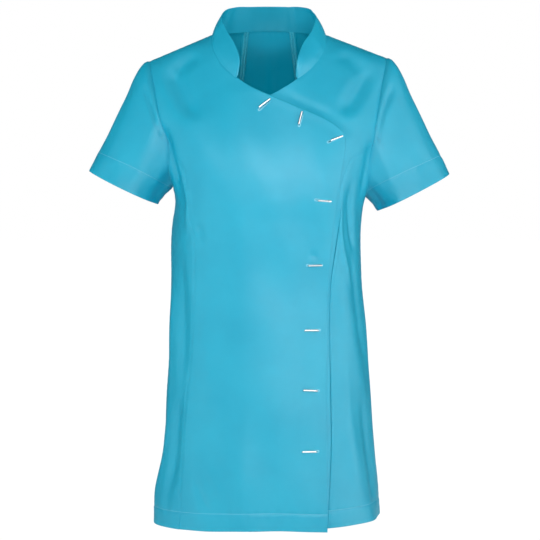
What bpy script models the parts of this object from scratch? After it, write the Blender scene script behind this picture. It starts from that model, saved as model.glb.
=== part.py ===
"""Beautician tunic with a stand collar, princess seams and an asymmetric front on bar buttons.

Metres, +Z up. The front faces -Y, so the wearer's right is at -X. The origin is midway between
the two points where the shoulder seams meet the collar. The cloth keeps the hollow form that it
has when it is worn, and every panel is a wall between its own seam lines on that form.
"""

import math
from collections import namedtuple

import bmesh
import bpy
import numpy as np
from mathutils import Matrix, Vector

# Cloth and making-up sizes
CLOTH = 0.0012           # wall of a panel: twill with its turnings
COLLAR_CLOTH = 0.0016    # two layers and an interlining
SEAM_GAP = 0.0003
SLEEVE_GAP = 0.0013      # a sleeve starts this far off the armhole, clear of the walls' bend
COLLAR_GAP = 0.0008
SHOULDER_IN = 0.0006     # walls bend over the shoulders, so each edge there is drawn in further
SHOULDER_ZONE = -0.080   # edges above this height count as the shoulders
OVERLAP_LIFT = 0.0028    # how far the overlapping front lies outside the form

# The form: neck, shoulders and the rounding of its sections
NECK_HALF = 0.090        # half the width between the shoulder seams at the collar
NECK_TOP = 0.001         # height of those two points
NECK_RISE = 0.057        # how far the form climbs inside the neck
NECK_SLOPE = 0.40
SECTION_POWER = 2.4      # 2 is an ellipse, more is squarer
FRONT_TURN = -0.230      # the front curves back towards the shoulder seam above this height
BACK_TURN = -0.160
DROP_SCALE = 0.230       # height per radian below the turn
HEM_HEIGHT = -0.770
HEM_TILT = 0.027         # rise of the hem per metre towards the wearer's left
OVERLAP_DROP = 0.006     # the free corner of the overlap hangs this much lower
BACK_NECK = 0.015        # height of the neck seam at centre back
BACK_NECK_DIP = 0.014

FRONT = -1
BACK = 1

# Half widths to either side and depths to front and back, at each height
TORSO_COLUMNS = ("z", "right", "left", "front", "back")
TORSO = (
    (0.060, 0.206, 0.206, 0.068, 0.090),
    (-0.060, 0.203, 0.202, 0.086, 0.096),
    (-0.140, 0.189, 0.188, 0.109, 0.103),
    (-0.190, 0.171, 0.1745, 0.121, 0.104),
    (-0.241, 0.1535, 0.159, 0.127, 0.101),
    (-0.260, 0.150, 0.1525, 0.1265, 0.099),
    (-0.300, 0.153, 0.146, 0.120, 0.093),
    (-0.380, 0.155, 0.147, 0.110, 0.086),
    (-0.460, 0.158, 0.152, 0.109, 0.094),
    (-0.560, 0.163, 0.159, 0.114, 0.108),
    (-0.660, 0.1695, 0.1675, 0.120, 0.117),
    (-0.730, 0.182, 0.176, 0.124, 0.122),
    (-0.790, 0.1855, 0.181, 0.126, 0.125),
)

# One row for each side of the garment
Side = namedtuple(
    "Side", "name sign shoulder slope underarm cuff_x cuff_z cuff_half cuff_lean",
)
RIGHT = Side("right", -1, 0.190, 0.42, -0.241, 0.2320, -0.2420, 0.0605, 25.9)
LEFT = Side("left", 1, 0.187, 0.38, -0.256, 0.2316, -0.2492, 0.0644, 27.3)

# Armholes, as an angle round the loop from the shoulder seam (0) to the underarm (180)
LOOP_STEPS = 30
LOOP_STEP = math.radians(360 / LOOP_STEPS)
PRINCESS_STEP = 9        # the front princess seam meets the armhole here
UNDERARM_STEP = 15
ARMHOLE_POWER = 1.3

# Sleeves
SLEEVE_ROWS = 5
CUFF_DEPTH = 0.046       # half the cuff, front to back
CUFF_DIP = 0.06          # the front of the cuff hangs lower than the back
SLEEVE_OUT = (0.90, 0.25, 0.35)    # outward, forward and down, where the sleeve leaves the body
SLEEVE_PULL = 0.38

# Front princess seams: distance from the centre at each height
PRINCESS_COLUMNS = ("z", "right", "left")
PRINCESS = (
    (-0.195, 0.143, 0.133),
    (-0.218, 0.1285, 0.1185),
    (-0.250, 0.1235, 0.109),
    (-0.285, 0.121, 0.1075),
    (-0.320, 0.1165, 0.105),
    (-0.384, 0.1146, 0.096),
    (-0.440, 0.118, 0.0953),
    (-0.510, 0.122, 0.0955),
    (-0.585, 0.131, 0.097),
    (-0.660, 0.135, 0.0963),
    (-0.720, 0.138, 0.0925),
    (-0.790, 0.1405, 0.088),
)

# Back princess seams, from the neck seam to the hem
BACK_ROW_DROP = 0.012    # rows of the side back run down from the underarm to the seam
BACK_PRINCESS_STATION = 0.135
BACK_PRINCESS_COLUMNS = ("z", "x")
BACK_PRINCESS = (
    (0.060, 0.034),
    (0.000, 0.039),
    (-0.060, 0.046),
    (-0.160, 0.060),
    (-0.240, 0.064),
    (-0.390, 0.059),
    (-0.560, 0.072),
    (-0.790, 0.086),
)

# Front neck seam, from the shoulder (0.5) to the end of the collar (1)
NECK_COLUMNS = ("station", "right_x", "right_z", "left_x", "left_z")
NECK = (
    (0.500, 0.090, 0.001, 0.090, 0.001),
    (0.625, 0.0875, -0.022, 0.0890, -0.024),
    (0.750, 0.0760, -0.046, 0.0770, -0.0435),
    (0.875, 0.0620, -0.0625, 0.0610, -0.062),
    (1.000, 0.0498, -0.073, 0.0435, -0.076),
)
NECK_STEPS = 4
NECK_SIDE_STEPS = 2      # as many of them run down the side of the neck, beside the shoulder strip

# Free edge of the overlap from the collar, along the slant and round its corner to the hem
OUTLINE_COLUMNS = ("x", "z")
OVERLAP_SLANT = (
    (-0.0498, -0.073),
    (-0.025, -0.090),
    (0.000, -0.102),
    (0.026, -0.1135),
    (0.052, -0.125),
    (0.078, -0.136),
    (0.100, -0.1485),
    (0.1125, -0.159),
)
OVERLAP_DOWN = (
    (0.1125, -0.159),
    (0.1165, -0.171),
    (0.1150, -0.190),
    (0.1085, -0.228),
    (0.1014, -0.266),
    (0.0955, -0.311),
    (0.0925, -0.360),
    (0.0905, -0.420),
    (0.0891, -0.500),
    (0.0886, -0.620),
    (0.0886, -0.790),
)

# Neckline of the underlap and its hidden edge
UNDERLAP_SLANT = (
    (0.0435, -0.076),
    (0.0295, -0.086),
    (0.0050, -0.099),
    (-0.0300, -0.1165),
)
UNDERLAP_DOWN = (
    (-0.0300, -0.1165),
    (-0.0300, -0.150),
    (-0.0050, -0.230),
    (0.0180, -0.300),
    (0.0240, -0.400),
    (0.0240, -0.790),
)
BODY_ROWS = 18
ROW_CROWDING = 1.35      # rows of a panel lie closer together near the bust
FRONT_LEVEL = -0.212     # height of the inner edge where the outer one passes the princess notch
TOP_FADE = 3             # how soon the shape of a panel's top edge has faded out below it

STRAIGHT_EDGE = 0.98     # two edges that turn less than this cosine says count as one line
SAME_POINT = 0.000001

# Columns of each panel
SHOULDER_COLUMNS = 4
OVERLAP_COLUMNS = 6
UNDERLAP_COLUMNS = 3
SIDE_NECK_COLUMNS = 3
BACK_CENTRE_COLUMNS = 6

# Stand collar: its top edge over each station of the neck seam, 0 at centre back
COLLAR_COLUMNS = ("station", "right_x", "left_x", "y", "z")
COLLAR_EDGE = (
    (0.000, 0.0000, 0.0000, 0.0410, 0.0515),
    (0.125, 0.0290, 0.0290, 0.0395, 0.0513),
    (0.250, 0.0515, 0.0510, 0.0310, 0.0500),
    (0.375, 0.0680, 0.0670, 0.0140, 0.0435),
    (0.500, 0.0745, 0.0735, -0.0050, 0.0290),
    (0.625, 0.0670, 0.0680, -0.0290, 0.0060),
    (0.750, 0.0535, 0.0530, -0.0530, -0.0190),
    (0.875, 0.0455, 0.0445, -0.0680, -0.0440),
    (1.000, 0.0480, 0.0420, -0.0715, -0.0705),
)
COLLAR_RUNGS = 3
COLLAR_BELLY = 0.0015    # the band bows outward between its seam and its edge

# Bar buttons, top to bottom: centre on the overlap and slope across the front
BAR_COLUMNS = ("x", "z", "slope")
BARS = (
    (-0.0069, -0.1165, 42),
    (0.0471, -0.1393, 75),
    (0.1020, -0.1699, 24.5),
    (0.0830, -0.2641, -6),
    (0.0695, -0.3632, 0),
    (0.0643, -0.4634, 0),
    (0.0624, -0.5557, -3),
    (0.0608, -0.6493, 0),
)
BAR_LENGTH = 0.0235
BAR_DIAMETER = 0.0030
BAR_CHAMFER = 0.0007
BAR_SIDES = 12
BAR_CLEARANCE = 0.0006
FOOT_CLEARANCE = 0.0010  # the shank ends this far outside the underlap's flat facets
SHANK_DIAMETER = 0.0016
SHANK_SIDES = 8
SLIT_LENGTH = 0.0250
SLIT_WIDTH = 0.0023
SLIT_DEPTH = 0.0050

TURQUOISE = (0.105, 0.456, 0.659, 1)
POLISHED_METAL = (0.78, 0.79, 0.80, 1)


# ---------------------------------------------------------------- reading the tables

def column(table, names, wanted, at):
    """Read one column of a table at the given keys, on a smooth curve through its rows."""
    rows = np.array(table)
    rows = rows[np.argsort(rows[:, 0])]
    keys = rows[:, 0]
    values = rows[:, names.index(wanted)]
    slopes = np.gradient(values, keys)
    at = np.clip(np.asarray(at, float), keys[0], keys[-1])
    low = np.clip(np.searchsorted(keys, at) - 1, 0, len(keys) - 2)
    span = keys[low + 1] - keys[low]
    t = (at - keys[low]) / span
    start = values[low] * (2 * t**3 - 3 * t**2 + 1) + slopes[low] * span * (t**3 - 2 * t**2 + t)
    end = values[low + 1] * (3 * t**2 - 2 * t**3) + slopes[low + 1] * span * (t**3 - t**2)
    return start + end


def along(points, shares):
    """Place points at shares of the length of a smooth curve through an outline's points."""
    points = np.array(points)
    steps = np.linalg.norm(np.diff(points, axis=0), axis=1)
    keys = np.concatenate(([0], np.cumsum(steps)))
    table = np.column_stack((keys, points))
    at = keys[-1] * shares
    names = ("run",) + OUTLINE_COLUMNS
    return column(table, names, "x", at), column(table, names, "z", at)


# ---------------------------------------------------------------- the worn form

def half_width(sine, z):
    """Half width of the form at a height, on the side that the angle's sine points to."""
    right = column(TORSO, TORSO_COLUMNS, "right", z)
    left = column(TORSO, TORSO_COLUMNS, "left", z)
    return np.where(sine < 0, right, left)


def ridge(x):
    """Height of the shoulder line, which climbs on inside the neck."""
    reach = np.abs(x)
    slope = np.where(x < 0, RIGHT.slope, LEFT.slope)
    outside = NECK_TOP - slope * (reach - NECK_HALF)
    inside = np.clip(1 - (x / NECK_HALF) ** 2, 0, None)
    climb = NECK_TOP + NECK_SLOPE * NECK_HALF / 2 * inside + NECK_RISE * inside**2
    return np.where(reach > NECK_HALF, outside, climb)


def turn_height(face):
    return FRONT_TURN if face == FRONT else BACK_TURN


def to_form(x, z, face):
    """Give the two angles of a point of the form: round the body, and down from the shoulder."""
    x, z = np.broadcast_arrays(np.asarray(x, float), np.asarray(z, float))
    turn = turn_height(face)
    sine = np.clip(x / half_width(x, z), -1, 1)
    rise = np.clip((z - turn) / (ridge(x) - turn), 0, 1)
    down = np.where(z > turn, np.arccos(rise), math.pi / 2 + (turn - z) / DROP_SCALE)
    return np.stack((np.arcsin(sine), down), axis=-1)


def on_form(angles, face):
    """Give the points in space for pairs of angles on the form."""
    turn = turn_height(face)
    sine = np.sin(angles[..., 0])
    down = angles[..., 1]
    upper = down < math.pi / 2
    z = turn + np.where(upper, -turn * np.cos(down), -DROP_SCALE * (down - math.pi / 2))
    for _ in range(12):
        x = half_width(sine, z) * sine
        z = np.where(upper, turn + np.cos(down) * (ridge(x) - turn), z)
    name = "front" if face == FRONT else "back"
    section = np.clip(1 - np.abs(sine) ** SECTION_POWER, 0, None) ** (1 / SECTION_POWER)
    rounding = np.where(upper, np.sin(down), 1)
    y = face * column(TORSO, TORSO_COLUMNS, name, z) * section * rounding
    return np.stack((x, y, z), axis=-1)


def outward(angles, face, step=0.01):
    """Unit normals of the form."""
    across = np.array((step, 0.0))
    down = np.array((0.0, step))
    run = on_form(angles + across, face) - on_form(angles - across, face)
    fall = on_form(angles + down, face) - on_form(angles - down, face)
    normal = face * np.cross(run, fall)
    return normal / np.linalg.norm(normal, axis=-1, keepdims=True)


def hem_height(x):
    return HEM_HEIGHT + HEM_TILT * x


def overlap_hem(x):
    """Hem of the overlapping front, which drops towards its free corner."""
    share = np.clip((x + 0.020) / 0.110, 0, 1)
    return hem_height(x) - OVERLAP_DROP * share**2


# ---------------------------------------------------------------- seam lines, as angles

def loop_points(side, steps):
    """Points x and z of an armhole at steps round its loop."""
    middle = np.cos(np.asarray(steps) * LOOP_STEP)
    top = float(ridge(np.array(side.sign * side.shoulder)))
    z = (top + side.underarm) / 2 + (top - side.underarm) / 2 * middle
    under = float(half_width(side.sign, side.underarm))
    share = (z - side.underarm) / (top - side.underarm)
    x = under + (side.shoulder - under) * share**ARMHOLE_POWER
    return side.sign * x, z


def armhole(side, face, first, last):
    """The armhole from one step to another, on the front or the back."""
    steps = np.arange(first, last + 1)
    x, z = loop_points(side, steps)
    return to_form(x, z, face)


def crowded_rows():
    """Rows from the bust (0) to the hem (1)."""
    return np.linspace(0, 1, BODY_ROWS + 1) ** ROW_CROWDING


def down_to_hem(start, face, place):
    """Rows of a seam from its start to the hem, where place gives x at a height."""
    share = crowded_rows()
    z = start + (HEM_HEIGHT - start) * share
    for _ in range(3):
        x = place(z)
        z = start + (hem_height(x[-1]) - start) * share
    return to_form(x, z, face)


def princess(side):
    """Front princess seam from the armhole to the hem."""
    start_x, start_z = loop_points(side, PRINCESS_STEP)
    start = (float(start_z),) + (abs(float(start_x)),) * 2
    table = (start,) + PRINCESS

    def place(z):
        return side.sign * column(table, PRINCESS_COLUMNS, side.name, z)

    return down_to_hem(float(start_z), FRONT, place)


def side_seam(side, face):
    """Side seam from the underarm to the hem."""
    def place(z):
        return side.sign * half_width(side.sign, z)

    return down_to_hem(side.underarm, face, place)


def back_neck(stations):
    """Back neck seam at stations from -0.5 on the right to 0.5 on the left."""
    x = NECK_HALF * np.sin(np.asarray(stations) * math.pi)
    z = BACK_NECK - BACK_NECK_DIP * (x / NECK_HALF) ** 2
    return to_form(x, z, BACK)


def back_princess(side):
    """Back princess seam from the neck to the hem, a row for each row of the side back."""
    start = BACK_NECK - BACK_NECK_DIP * math.sin(BACK_PRINCESS_STATION * math.pi) ** 2
    level = side.underarm - BACK_ROW_DROP
    upper = level + (start - level) * (1 + np.cos(np.arange(UNDERARM_STEP + 1) * LOOP_STEP)) / 2
    lower = level + (HEM_HEIGHT - level) * crowded_rows()[1:]
    z = np.concatenate((upper, lower))
    x = side.sign * column(BACK_PRINCESS, BACK_PRINCESS_COLUMNS, "x", z)
    x[0] = side.sign * NECK_HALF * math.sin(BACK_PRINCESS_STATION * math.pi)
    z[-1] = hem_height(x[-1])
    return to_form(x, z, BACK)


def front_neck(side):
    """Front neck seam, from the shoulder to the end of the collar."""
    stations = np.linspace(0.5, 1, NECK_STEPS + 1)
    x = column(NECK, NECK_COLUMNS, side.name + "_x", stations)
    z = column(NECK, NECK_COLUMNS, side.name + "_z", stations)
    return to_form(side.sign * x, z, FRONT)


def front_inner(down, hem):
    """Inner edge of a front, from the end of its neckline past a level row to the hem."""
    table = [(z, x) for x, z in down]
    upper = np.linspace(down[0][1], FRONT_LEVEL, PRINCESS_STEP - NECK_SIDE_STEPS + 1)
    lower = FRONT_LEVEL + (HEM_HEIGHT - FRONT_LEVEL) * crowded_rows()[1:]
    z = np.concatenate((upper, lower))
    x = column(table, OUTLINE_COLUMNS[::-1], "x", z)
    z[-1] = hem(x[-1])
    return to_form(x, z, FRONT)


def straight(start, end, count):
    """Even steps between two pairs of angles."""
    share = np.linspace(0, 1, count + 1)[:, None]
    return start + (end - start) * share


# ---------------------------------------------------------------- panels

def fill(outer, inner, top, bottom):
    """Fill a four-sided panel between its edges, as a grid of angles.

    The shape of the top edge fades out quickly down the panel, so its rows soon run level.
    """
    v = np.linspace(0, 1, len(outer))[:, None, None]
    u = np.linspace(0, 1, len(top))[None, :, None]
    fade = (1 - v) ** TOP_FADE
    between_sides = (1 - u) * outer[:, None, :] + u * inner[:, None, :]
    between_ends = fade * top[None, :, :] + (1 - fade) * bottom[None, :, :]
    corners = fade * ((1 - u) * outer[0] + u * inner[0])
    corners = corners + (1 - fade) * ((1 - u) * outer[-1] + u * inner[-1])
    return between_sides + between_ends - corners


def hem_edge(start, end, count, face, hem=hem_height):
    """Hem between two points on the form."""
    angles = straight(start, end, count)
    x = on_form(angles, face)[:, 0]
    return to_form(x, hem(x), face)


def spread(start, end, edge):
    """Angles between two edges, shared out as the points of a third edge are."""
    share = (edge - edge[0]) / (edge[-1] - edge[0])
    return start[:, None] + (end - start)[:, None] * share


def front_panel(side, slant, down, columns, hem):
    """One front: the strip between armhole and neck, and below it all the rest to the hem.

    Columns hang straight down from the neck as far as the bust and spread out below.
    """
    outer = np.concatenate((armhole(side, FRONT, 0, PRINCESS_STEP), princess(side)[1:]))
    neck = front_neck(side)
    turn = NECK_SIDE_STEPS
    above = straight(outer[0], neck[0], SHOULDER_COLUMNS)
    below = straight(outer[turn], neck[turn], SHOULDER_COLUMNS)
    strip = fill(outer[:turn + 1], neck[:turn + 1], above, below)

    outer = outer[turn:]
    inner = front_inner(down, hem)
    neckline = to_form(*along(slant, np.linspace(0, 1, columns + 1)), FRONT)
    top = np.concatenate((below, neck[turn + 1:], neckline[1:]))
    bottom = hem_edge(outer[-1], inner[-1], len(top) - 1, FRONT, hem)
    rest = fill(outer, inner, top, bottom)
    first = SHOULDER_COLUMNS
    last = len(top) - 1 - columns
    first_round = np.full(len(outer), top[first, 0])
    last_round = np.full(len(outer), top[last, 0])
    hung = np.concatenate((
        spread(outer[:, 0], first_round, top[:first + 1, 0])[:, :-1],
        spread(first_round, last_round, top[first:last + 1, 0]),
        spread(last_round, inner[:, 0], top[last:, 0])[:, 1:],
    ), axis=1)
    rows_past_bust = np.arange(len(outer)) - (len(outer) - 1 - BODY_ROWS)
    share = np.clip(rows_past_bust / BODY_ROWS, 0, 1)[:, None]
    rest[..., 0] = hung + (rest[..., 0] - hung) * share**2 * (3 - 2 * share)
    return strip, rest


def side_front_panel(side):
    """Side front, hung from the lower armhole between princess seam and side seam."""
    outer = side_seam(side, FRONT)
    inner = princess(side)
    top = armhole(side, FRONT, PRINCESS_STEP, UNDERARM_STEP)[::-1]
    bottom = hem_edge(outer[-1], inner[-1], len(top) - 1, FRONT)
    return fill(outer, inner, top, bottom)


def side_back_panel(side):
    """Side back, with the shoulder seam and a part of the neck seam at its top."""
    outer = np.concatenate((armhole(side, BACK, 0, UNDERARM_STEP), side_seam(side, BACK)[1:]))
    inner = back_princess(side)
    stations = np.linspace(0.5, BACK_PRINCESS_STATION, SIDE_NECK_COLUMNS + 1)
    neck = back_neck(side.sign * stations)
    top = np.concatenate((straight(outer[0], neck[0], SHOULDER_COLUMNS), neck[1:]))
    bottom = hem_edge(outer[-1], inner[-1], len(top) - 1, BACK)
    return fill(outer, inner, top, bottom)


def back_centre_panel():
    """Centre back, between the two back princess seams."""
    outer = back_princess(RIGHT)
    inner = back_princess(LEFT)
    reach = BACK_PRINCESS_STATION
    top = back_neck(np.linspace(-reach, reach, BACK_CENTRE_COLUMNS + 1))
    bottom = hem_edge(outer[-1], inner[-1], BACK_CENTRE_COLUMNS, BACK)
    return fill(outer, inner, top, bottom)


def overlap_lift(points):
    """Lift of the overlapping front: none at its princess seam, full where it overlaps."""
    share = np.clip((points[..., 0] + 0.120) / 0.080, 0, 1)
    return OVERLAP_LIFT * share**2 * (3 - 2 * share)


def collar_band():
    """Rungs of the collar from the right front end, round the back, to the left front end."""
    front_stations = np.linspace(1, 0.5, NECK_STEPS + 1)
    side_stations = np.linspace(0.5, BACK_PRINCESS_STATION, SIDE_NECK_COLUMNS + 1)
    centre = np.linspace(-BACK_PRINCESS_STATION, BACK_PRINCESS_STATION, BACK_CENTRE_COLUMNS + 1)
    right = on_form(front_neck(RIGHT), FRONT)[::-1]
    left = on_form(front_neck(LEFT), FRONT)
    back_stations = np.concatenate((-side_stations[1:-1], centre, side_stations[-2:0:-1]))
    back = on_form(back_neck(back_stations), BACK)
    seam = np.concatenate((right, back, left))
    stations = np.concatenate((-front_stations, back_stations, front_stations[::-1]))
    reach = np.abs(stations)
    right_x = column(COLLAR_EDGE, COLLAR_COLUMNS, "right_x", reach)
    left_x = column(COLLAR_EDGE, COLLAR_COLUMNS, "left_x", reach)
    x = np.where(stations < 0, -right_x, left_x)
    y = column(COLLAR_EDGE, COLLAR_COLUMNS, "y", reach)
    z = column(COLLAR_EDGE, COLLAR_COLUMNS, "z", reach)
    edge = np.stack((x, y, z), axis=-1)
    rise = edge - seam
    start = seam + COLLAR_GAP * rise / np.linalg.norm(rise, axis=1, keepdims=True)
    rungs = []
    for share in np.linspace(0, 1, COLLAR_RUNGS + 1):
        rung = start + (edge - start) * share
        away = rung * (1, 1, 0)
        away = away / np.linalg.norm(away, axis=1, keepdims=True)
        belly = COLLAR_BELLY * math.sin(math.pi * share)
        rungs.append(rung + away * belly)
    return np.array(rungs)


def sleeve_tube(side):
    """Rings of a sleeve from the armhole to the cuff."""
    half = LOOP_STEPS // 2
    x, z = loop_points(side, np.arange(half + 1))
    front = on_form(to_form(x, z, FRONT), FRONT)
    back = on_form(to_form(x, z, BACK), BACK)
    start = np.concatenate((front, back[-2:0:-1]))
    angle = np.arange(LOOP_STEPS) * LOOP_STEP
    cosine = np.cos(angle)[:, None]
    sine = np.sin(angle)[:, None]
    lean = math.radians(side.cuff_lean)
    across = np.array((side.sign * math.cos(lean), 0, math.sin(lean)))
    forward = np.array((0, -1, -CUFF_DIP))
    middle = np.array((side.sign * side.cuff_x, 0, side.cuff_z))
    end = middle + side.cuff_half * cosine * across + CUFF_DEPTH * sine * forward
    reach = np.linalg.norm(end - start, axis=1, keepdims=True)
    out, ahead, down = SLEEVE_OUT
    leave = np.concatenate(
        (np.full_like(sine, side.sign * out), -ahead * sine, np.full_like(sine, -down)), axis=1
    )
    leave = leave / np.linalg.norm(leave, axis=1, keepdims=True)
    start = start + SLEEVE_GAP * leave
    arrive = np.array((side.sign * math.sin(lean), 0, -math.cos(lean)))
    rings = []
    for t in np.linspace(0, 1, SLEEVE_ROWS + 1):
        ring = start * (2 * t**3 - 3 * t**2 + 1) + end * (3 * t**2 - 2 * t**3)
        ring = ring + reach * SLEEVE_PULL * leave * (t**3 - 2 * t**2 + t)
        rings.append(ring + reach * arrive * (t**3 - t**2))
    return np.array(rings)


# ---------------------------------------------------------------- Blender objects

def draw_in(shape):
    """Move the edges of a sheet in by half a seam gap, square to each edge."""
    ways = {}
    for edge in shape.edges:
        if len(edge.link_faces) > 1:
            continue
        first, last = edge.verts
        line = (last.co - first.co).normalized()
        inward = edge.link_faces[0].calc_center_median() - first.co
        inward = (inward - line * inward.dot(line)).normalized()
        high = min(first.co.z, last.co.z) > SHOULDER_ZONE
        distance = SHOULDER_IN if high else SEAM_GAP / 2
        for corner in edge.verts:
            ways.setdefault(corner, []).append((inward, distance))
    moves = {}
    for corner, ((way, distance), (other, further)) in ways.items():
        turn = way.dot(other)
        if turn > STRAIGHT_EDGE:
            moves[corner] = (way + other).normalized() * max(distance, further)
            continue
        scale = 1 - turn**2
        moves[corner] = way * (distance - turn * further) / scale
        moves[corner] += other * (further - turn * distance) / scale
    for corner, move in moves.items():
        corner.co += move


def add_material(name, colour, roughness, metallic):
    material = bpy.data.materials.new(name)
    material.use_nodes = True
    shader = material.node_tree.nodes["Principled BSDF"]
    shader.inputs["Base Color"].default_value = colour
    shader.inputs["Roughness"].default_value = roughness
    shader.inputs["Metallic"].default_value = metallic
    return material


def add_object(name, mesh, folder, material=None):
    thing = bpy.data.objects.new(name, mesh)
    folder.objects.link(thing)
    if material:
        mesh.materials.append(material)
    return thing


def cloth_piece(name, sheets, folder, thickness=CLOTH, closed=False, seamed=True):
    """Make a wall of cloth through one or more grids of points that share their borders."""
    mesh = bpy.data.meshes.new(name)
    shape = bmesh.new()
    for points in sheets:
        rows, columns = points.shape[:2]
        grid = [[shape.verts.new(point) for point in row] for row in points.tolist()]
        for row in range(rows - 1):
            for place in range(columns if closed else columns - 1):
                beside = (place + 1) % columns
                corners = (grid[row][place], grid[row + 1][place])
                shape.faces.new(corners + (grid[row + 1][beside], grid[row][beside]))
    bmesh.ops.remove_doubles(shape, verts=shape.verts, dist=SAME_POINT)
    if seamed:
        draw_in(shape)
    shape.to_mesh(mesh)
    shape.free()
    mesh.shade_smooth()
    material = add_material(name + "_twill", TURQUOISE, 0.75, 0)
    piece = add_object(name, mesh, folder, material)
    wall = piece.modifiers.new("Wall", "SOLIDIFY")
    wall.thickness = thickness
    wall.offset = 0
    wall.use_even_offset = True
    return piece


def primitive(name, folder, make):
    """Keep a shape made by one of the primitive operators of bmesh."""
    mesh = bpy.data.meshes.new(name)
    shape = bmesh.new()
    make(shape)
    shape.to_mesh(mesh)
    shape.free()
    return add_object(name, mesh, folder)


def as_cutter(thing):
    thing.hide_render = True
    thing.display_type = "WIRE"
    return thing


def bar_frame(x, z, slope):
    """Place of a bar: X along the bar, Z out of the cloth, origin on the form."""
    angles = to_form(x, z, FRONT)
    centre = Vector(on_form(angles, FRONT))
    out = Vector(outward(angles, FRONT))
    slope = math.radians(slope)
    along_bar = Vector((math.cos(slope), 0, math.sin(slope)))
    along_bar = (along_bar - out * along_bar.dot(out)).normalized()
    turned = Matrix((along_bar, out.cross(along_bar), out)).transposed()
    return Matrix.Translation(centre) @ turned.to_4x4()


def add_bar(number, row, folder, cutters, front):
    """A bar button on its shank, and the buttonhole that the shank passes through."""
    place = bar_frame(**dict(zip(BAR_COLUMNS, row)))
    axis_height = OVERLAP_LIFT + CLOTH / 2 + BAR_CLEARANCE + BAR_DIAMETER / 2
    foot_height = CLOTH / 2 + FOOT_CLEARANCE

    def make_rod(shape):
        bmesh.ops.create_cone(
            shape, cap_ends=True, segments=BAR_SIDES, radius1=BAR_DIAMETER / 2,
            radius2=BAR_DIAMETER / 2, depth=BAR_LENGTH,
            matrix=Matrix.Rotation(math.pi / 2, 4, "Y"),
        )

    def make_shank(shape):
        bmesh.ops.create_cone(
            shape, cap_ends=True, segments=SHANK_SIDES, radius1=SHANK_DIAMETER / 2,
            radius2=SHANK_DIAMETER / 2, depth=axis_height - foot_height,
        )

    def make_slit(shape):
        size = Matrix.Diagonal((SLIT_LENGTH, SLIT_WIDTH, SLIT_DEPTH, 1))
        bmesh.ops.create_cube(shape, size=1, matrix=size)

    rod = primitive(f"bar_{number}", folder, make_rod)
    rod.data.materials.append(add_material(f"bar_{number}_metal", POLISHED_METAL, 0.15, 1))
    rod.matrix_world = place @ Matrix.Translation((0, 0, axis_height))
    chamfer = rod.modifiers.new("Chamfer", "BEVEL")
    chamfer.width = BAR_CHAMFER
    chamfer.segments = 1
    chamfer.limit_method = "ANGLE"
    chamfer.angle_limit = math.radians(60)

    shank = as_cutter(primitive(f"shank_{number}", cutters, make_shank))
    shank.matrix_world = place @ Matrix.Translation((0, 0, (axis_height + foot_height) / 2))
    joined = rod.modifiers.new("Shank", "BOOLEAN")
    joined.operation = "UNION"
    joined.solver = "EXACT"
    joined.object = shank

    slit = as_cutter(primitive(f"slit_{number}", cutters, make_slit))
    slit.matrix_world = place @ Matrix.Translation((0, 0, OVERLAP_LIFT))
    cut = front.modifiers.new(f"Buttonhole {number}", "BOOLEAN")
    cut.operation = "DIFFERENCE"
    cut.solver = "EXACT"
    cut.object = slit


def build():
    for thing in list(bpy.data.objects):
        bpy.data.objects.remove(thing)
    folder = bpy.data.collections.new("Beautician tunic")
    cutters = bpy.data.collections.new("Cutters")
    bpy.context.scene.collection.children.link(folder)
    bpy.context.scene.collection.children.link(cutters)

    sheets = []
    for angles in front_panel(RIGHT, OVERLAP_SLANT, OVERLAP_DOWN, OVERLAP_COLUMNS, overlap_hem):
        points = on_form(angles, FRONT)
        sheets.append(points + overlap_lift(points)[..., None] * outward(angles, FRONT))
    front = cloth_piece("front_right", sheets, folder)

    halves = front_panel(LEFT, UNDERLAP_SLANT, UNDERLAP_DOWN, UNDERLAP_COLUMNS, hem_height)
    cloth_piece("front_left", [on_form(angles, FRONT) for angles in halves], folder)

    for side in (RIGHT, LEFT):
        cloth_piece("side_front_" + side.name, [on_form(side_front_panel(side), FRONT)], folder)
        cloth_piece("side_back_" + side.name, [on_form(side_back_panel(side), BACK)], folder)
        cloth_piece("sleeve_" + side.name, [sleeve_tube(side)], folder, closed=True, seamed=False)

    cloth_piece("back_centre", [on_form(back_centre_panel(), BACK)], folder)
    cloth_piece("collar", [collar_band()], folder, thickness=COLLAR_CLOTH, seamed=False)

    for number, row in enumerate(BARS, 1):
        add_bar(number, row, folder, cutters, front)
    bpy.context.view_layer.update()


build()
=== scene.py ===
"""Looks of a beautician tunic: fine twill shells on the cut of its panels, with seams, turned
hems, worked buttonholes, polished bars and the soft creases of a filled-out garment.

Metres, +Z up. The front faces -Y, so the wearer's right is at -X.
"""

import math
from collections import namedtuple
from functools import partial

import bmesh
import bpy
import numpy as np
from mathutils import Matrix, Vector


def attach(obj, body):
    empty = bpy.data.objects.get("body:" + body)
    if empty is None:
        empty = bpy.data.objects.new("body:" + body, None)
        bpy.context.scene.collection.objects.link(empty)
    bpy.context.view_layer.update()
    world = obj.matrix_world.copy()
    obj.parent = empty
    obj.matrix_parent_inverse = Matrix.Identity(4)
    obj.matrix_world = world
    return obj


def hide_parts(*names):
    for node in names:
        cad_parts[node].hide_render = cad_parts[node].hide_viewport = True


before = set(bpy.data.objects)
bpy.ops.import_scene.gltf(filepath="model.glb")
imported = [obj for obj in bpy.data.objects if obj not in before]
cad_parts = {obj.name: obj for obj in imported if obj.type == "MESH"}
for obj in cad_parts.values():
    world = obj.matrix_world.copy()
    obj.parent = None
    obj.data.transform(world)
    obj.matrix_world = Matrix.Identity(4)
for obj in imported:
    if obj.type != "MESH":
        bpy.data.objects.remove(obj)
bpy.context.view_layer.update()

# ---- reading the tables

def running_length(points):
    """Distance of each point of a line from its first."""
    return np.concatenate(([0], np.cumsum(np.linalg.norm(np.diff(points, axis=0), axis=1))))


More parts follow.
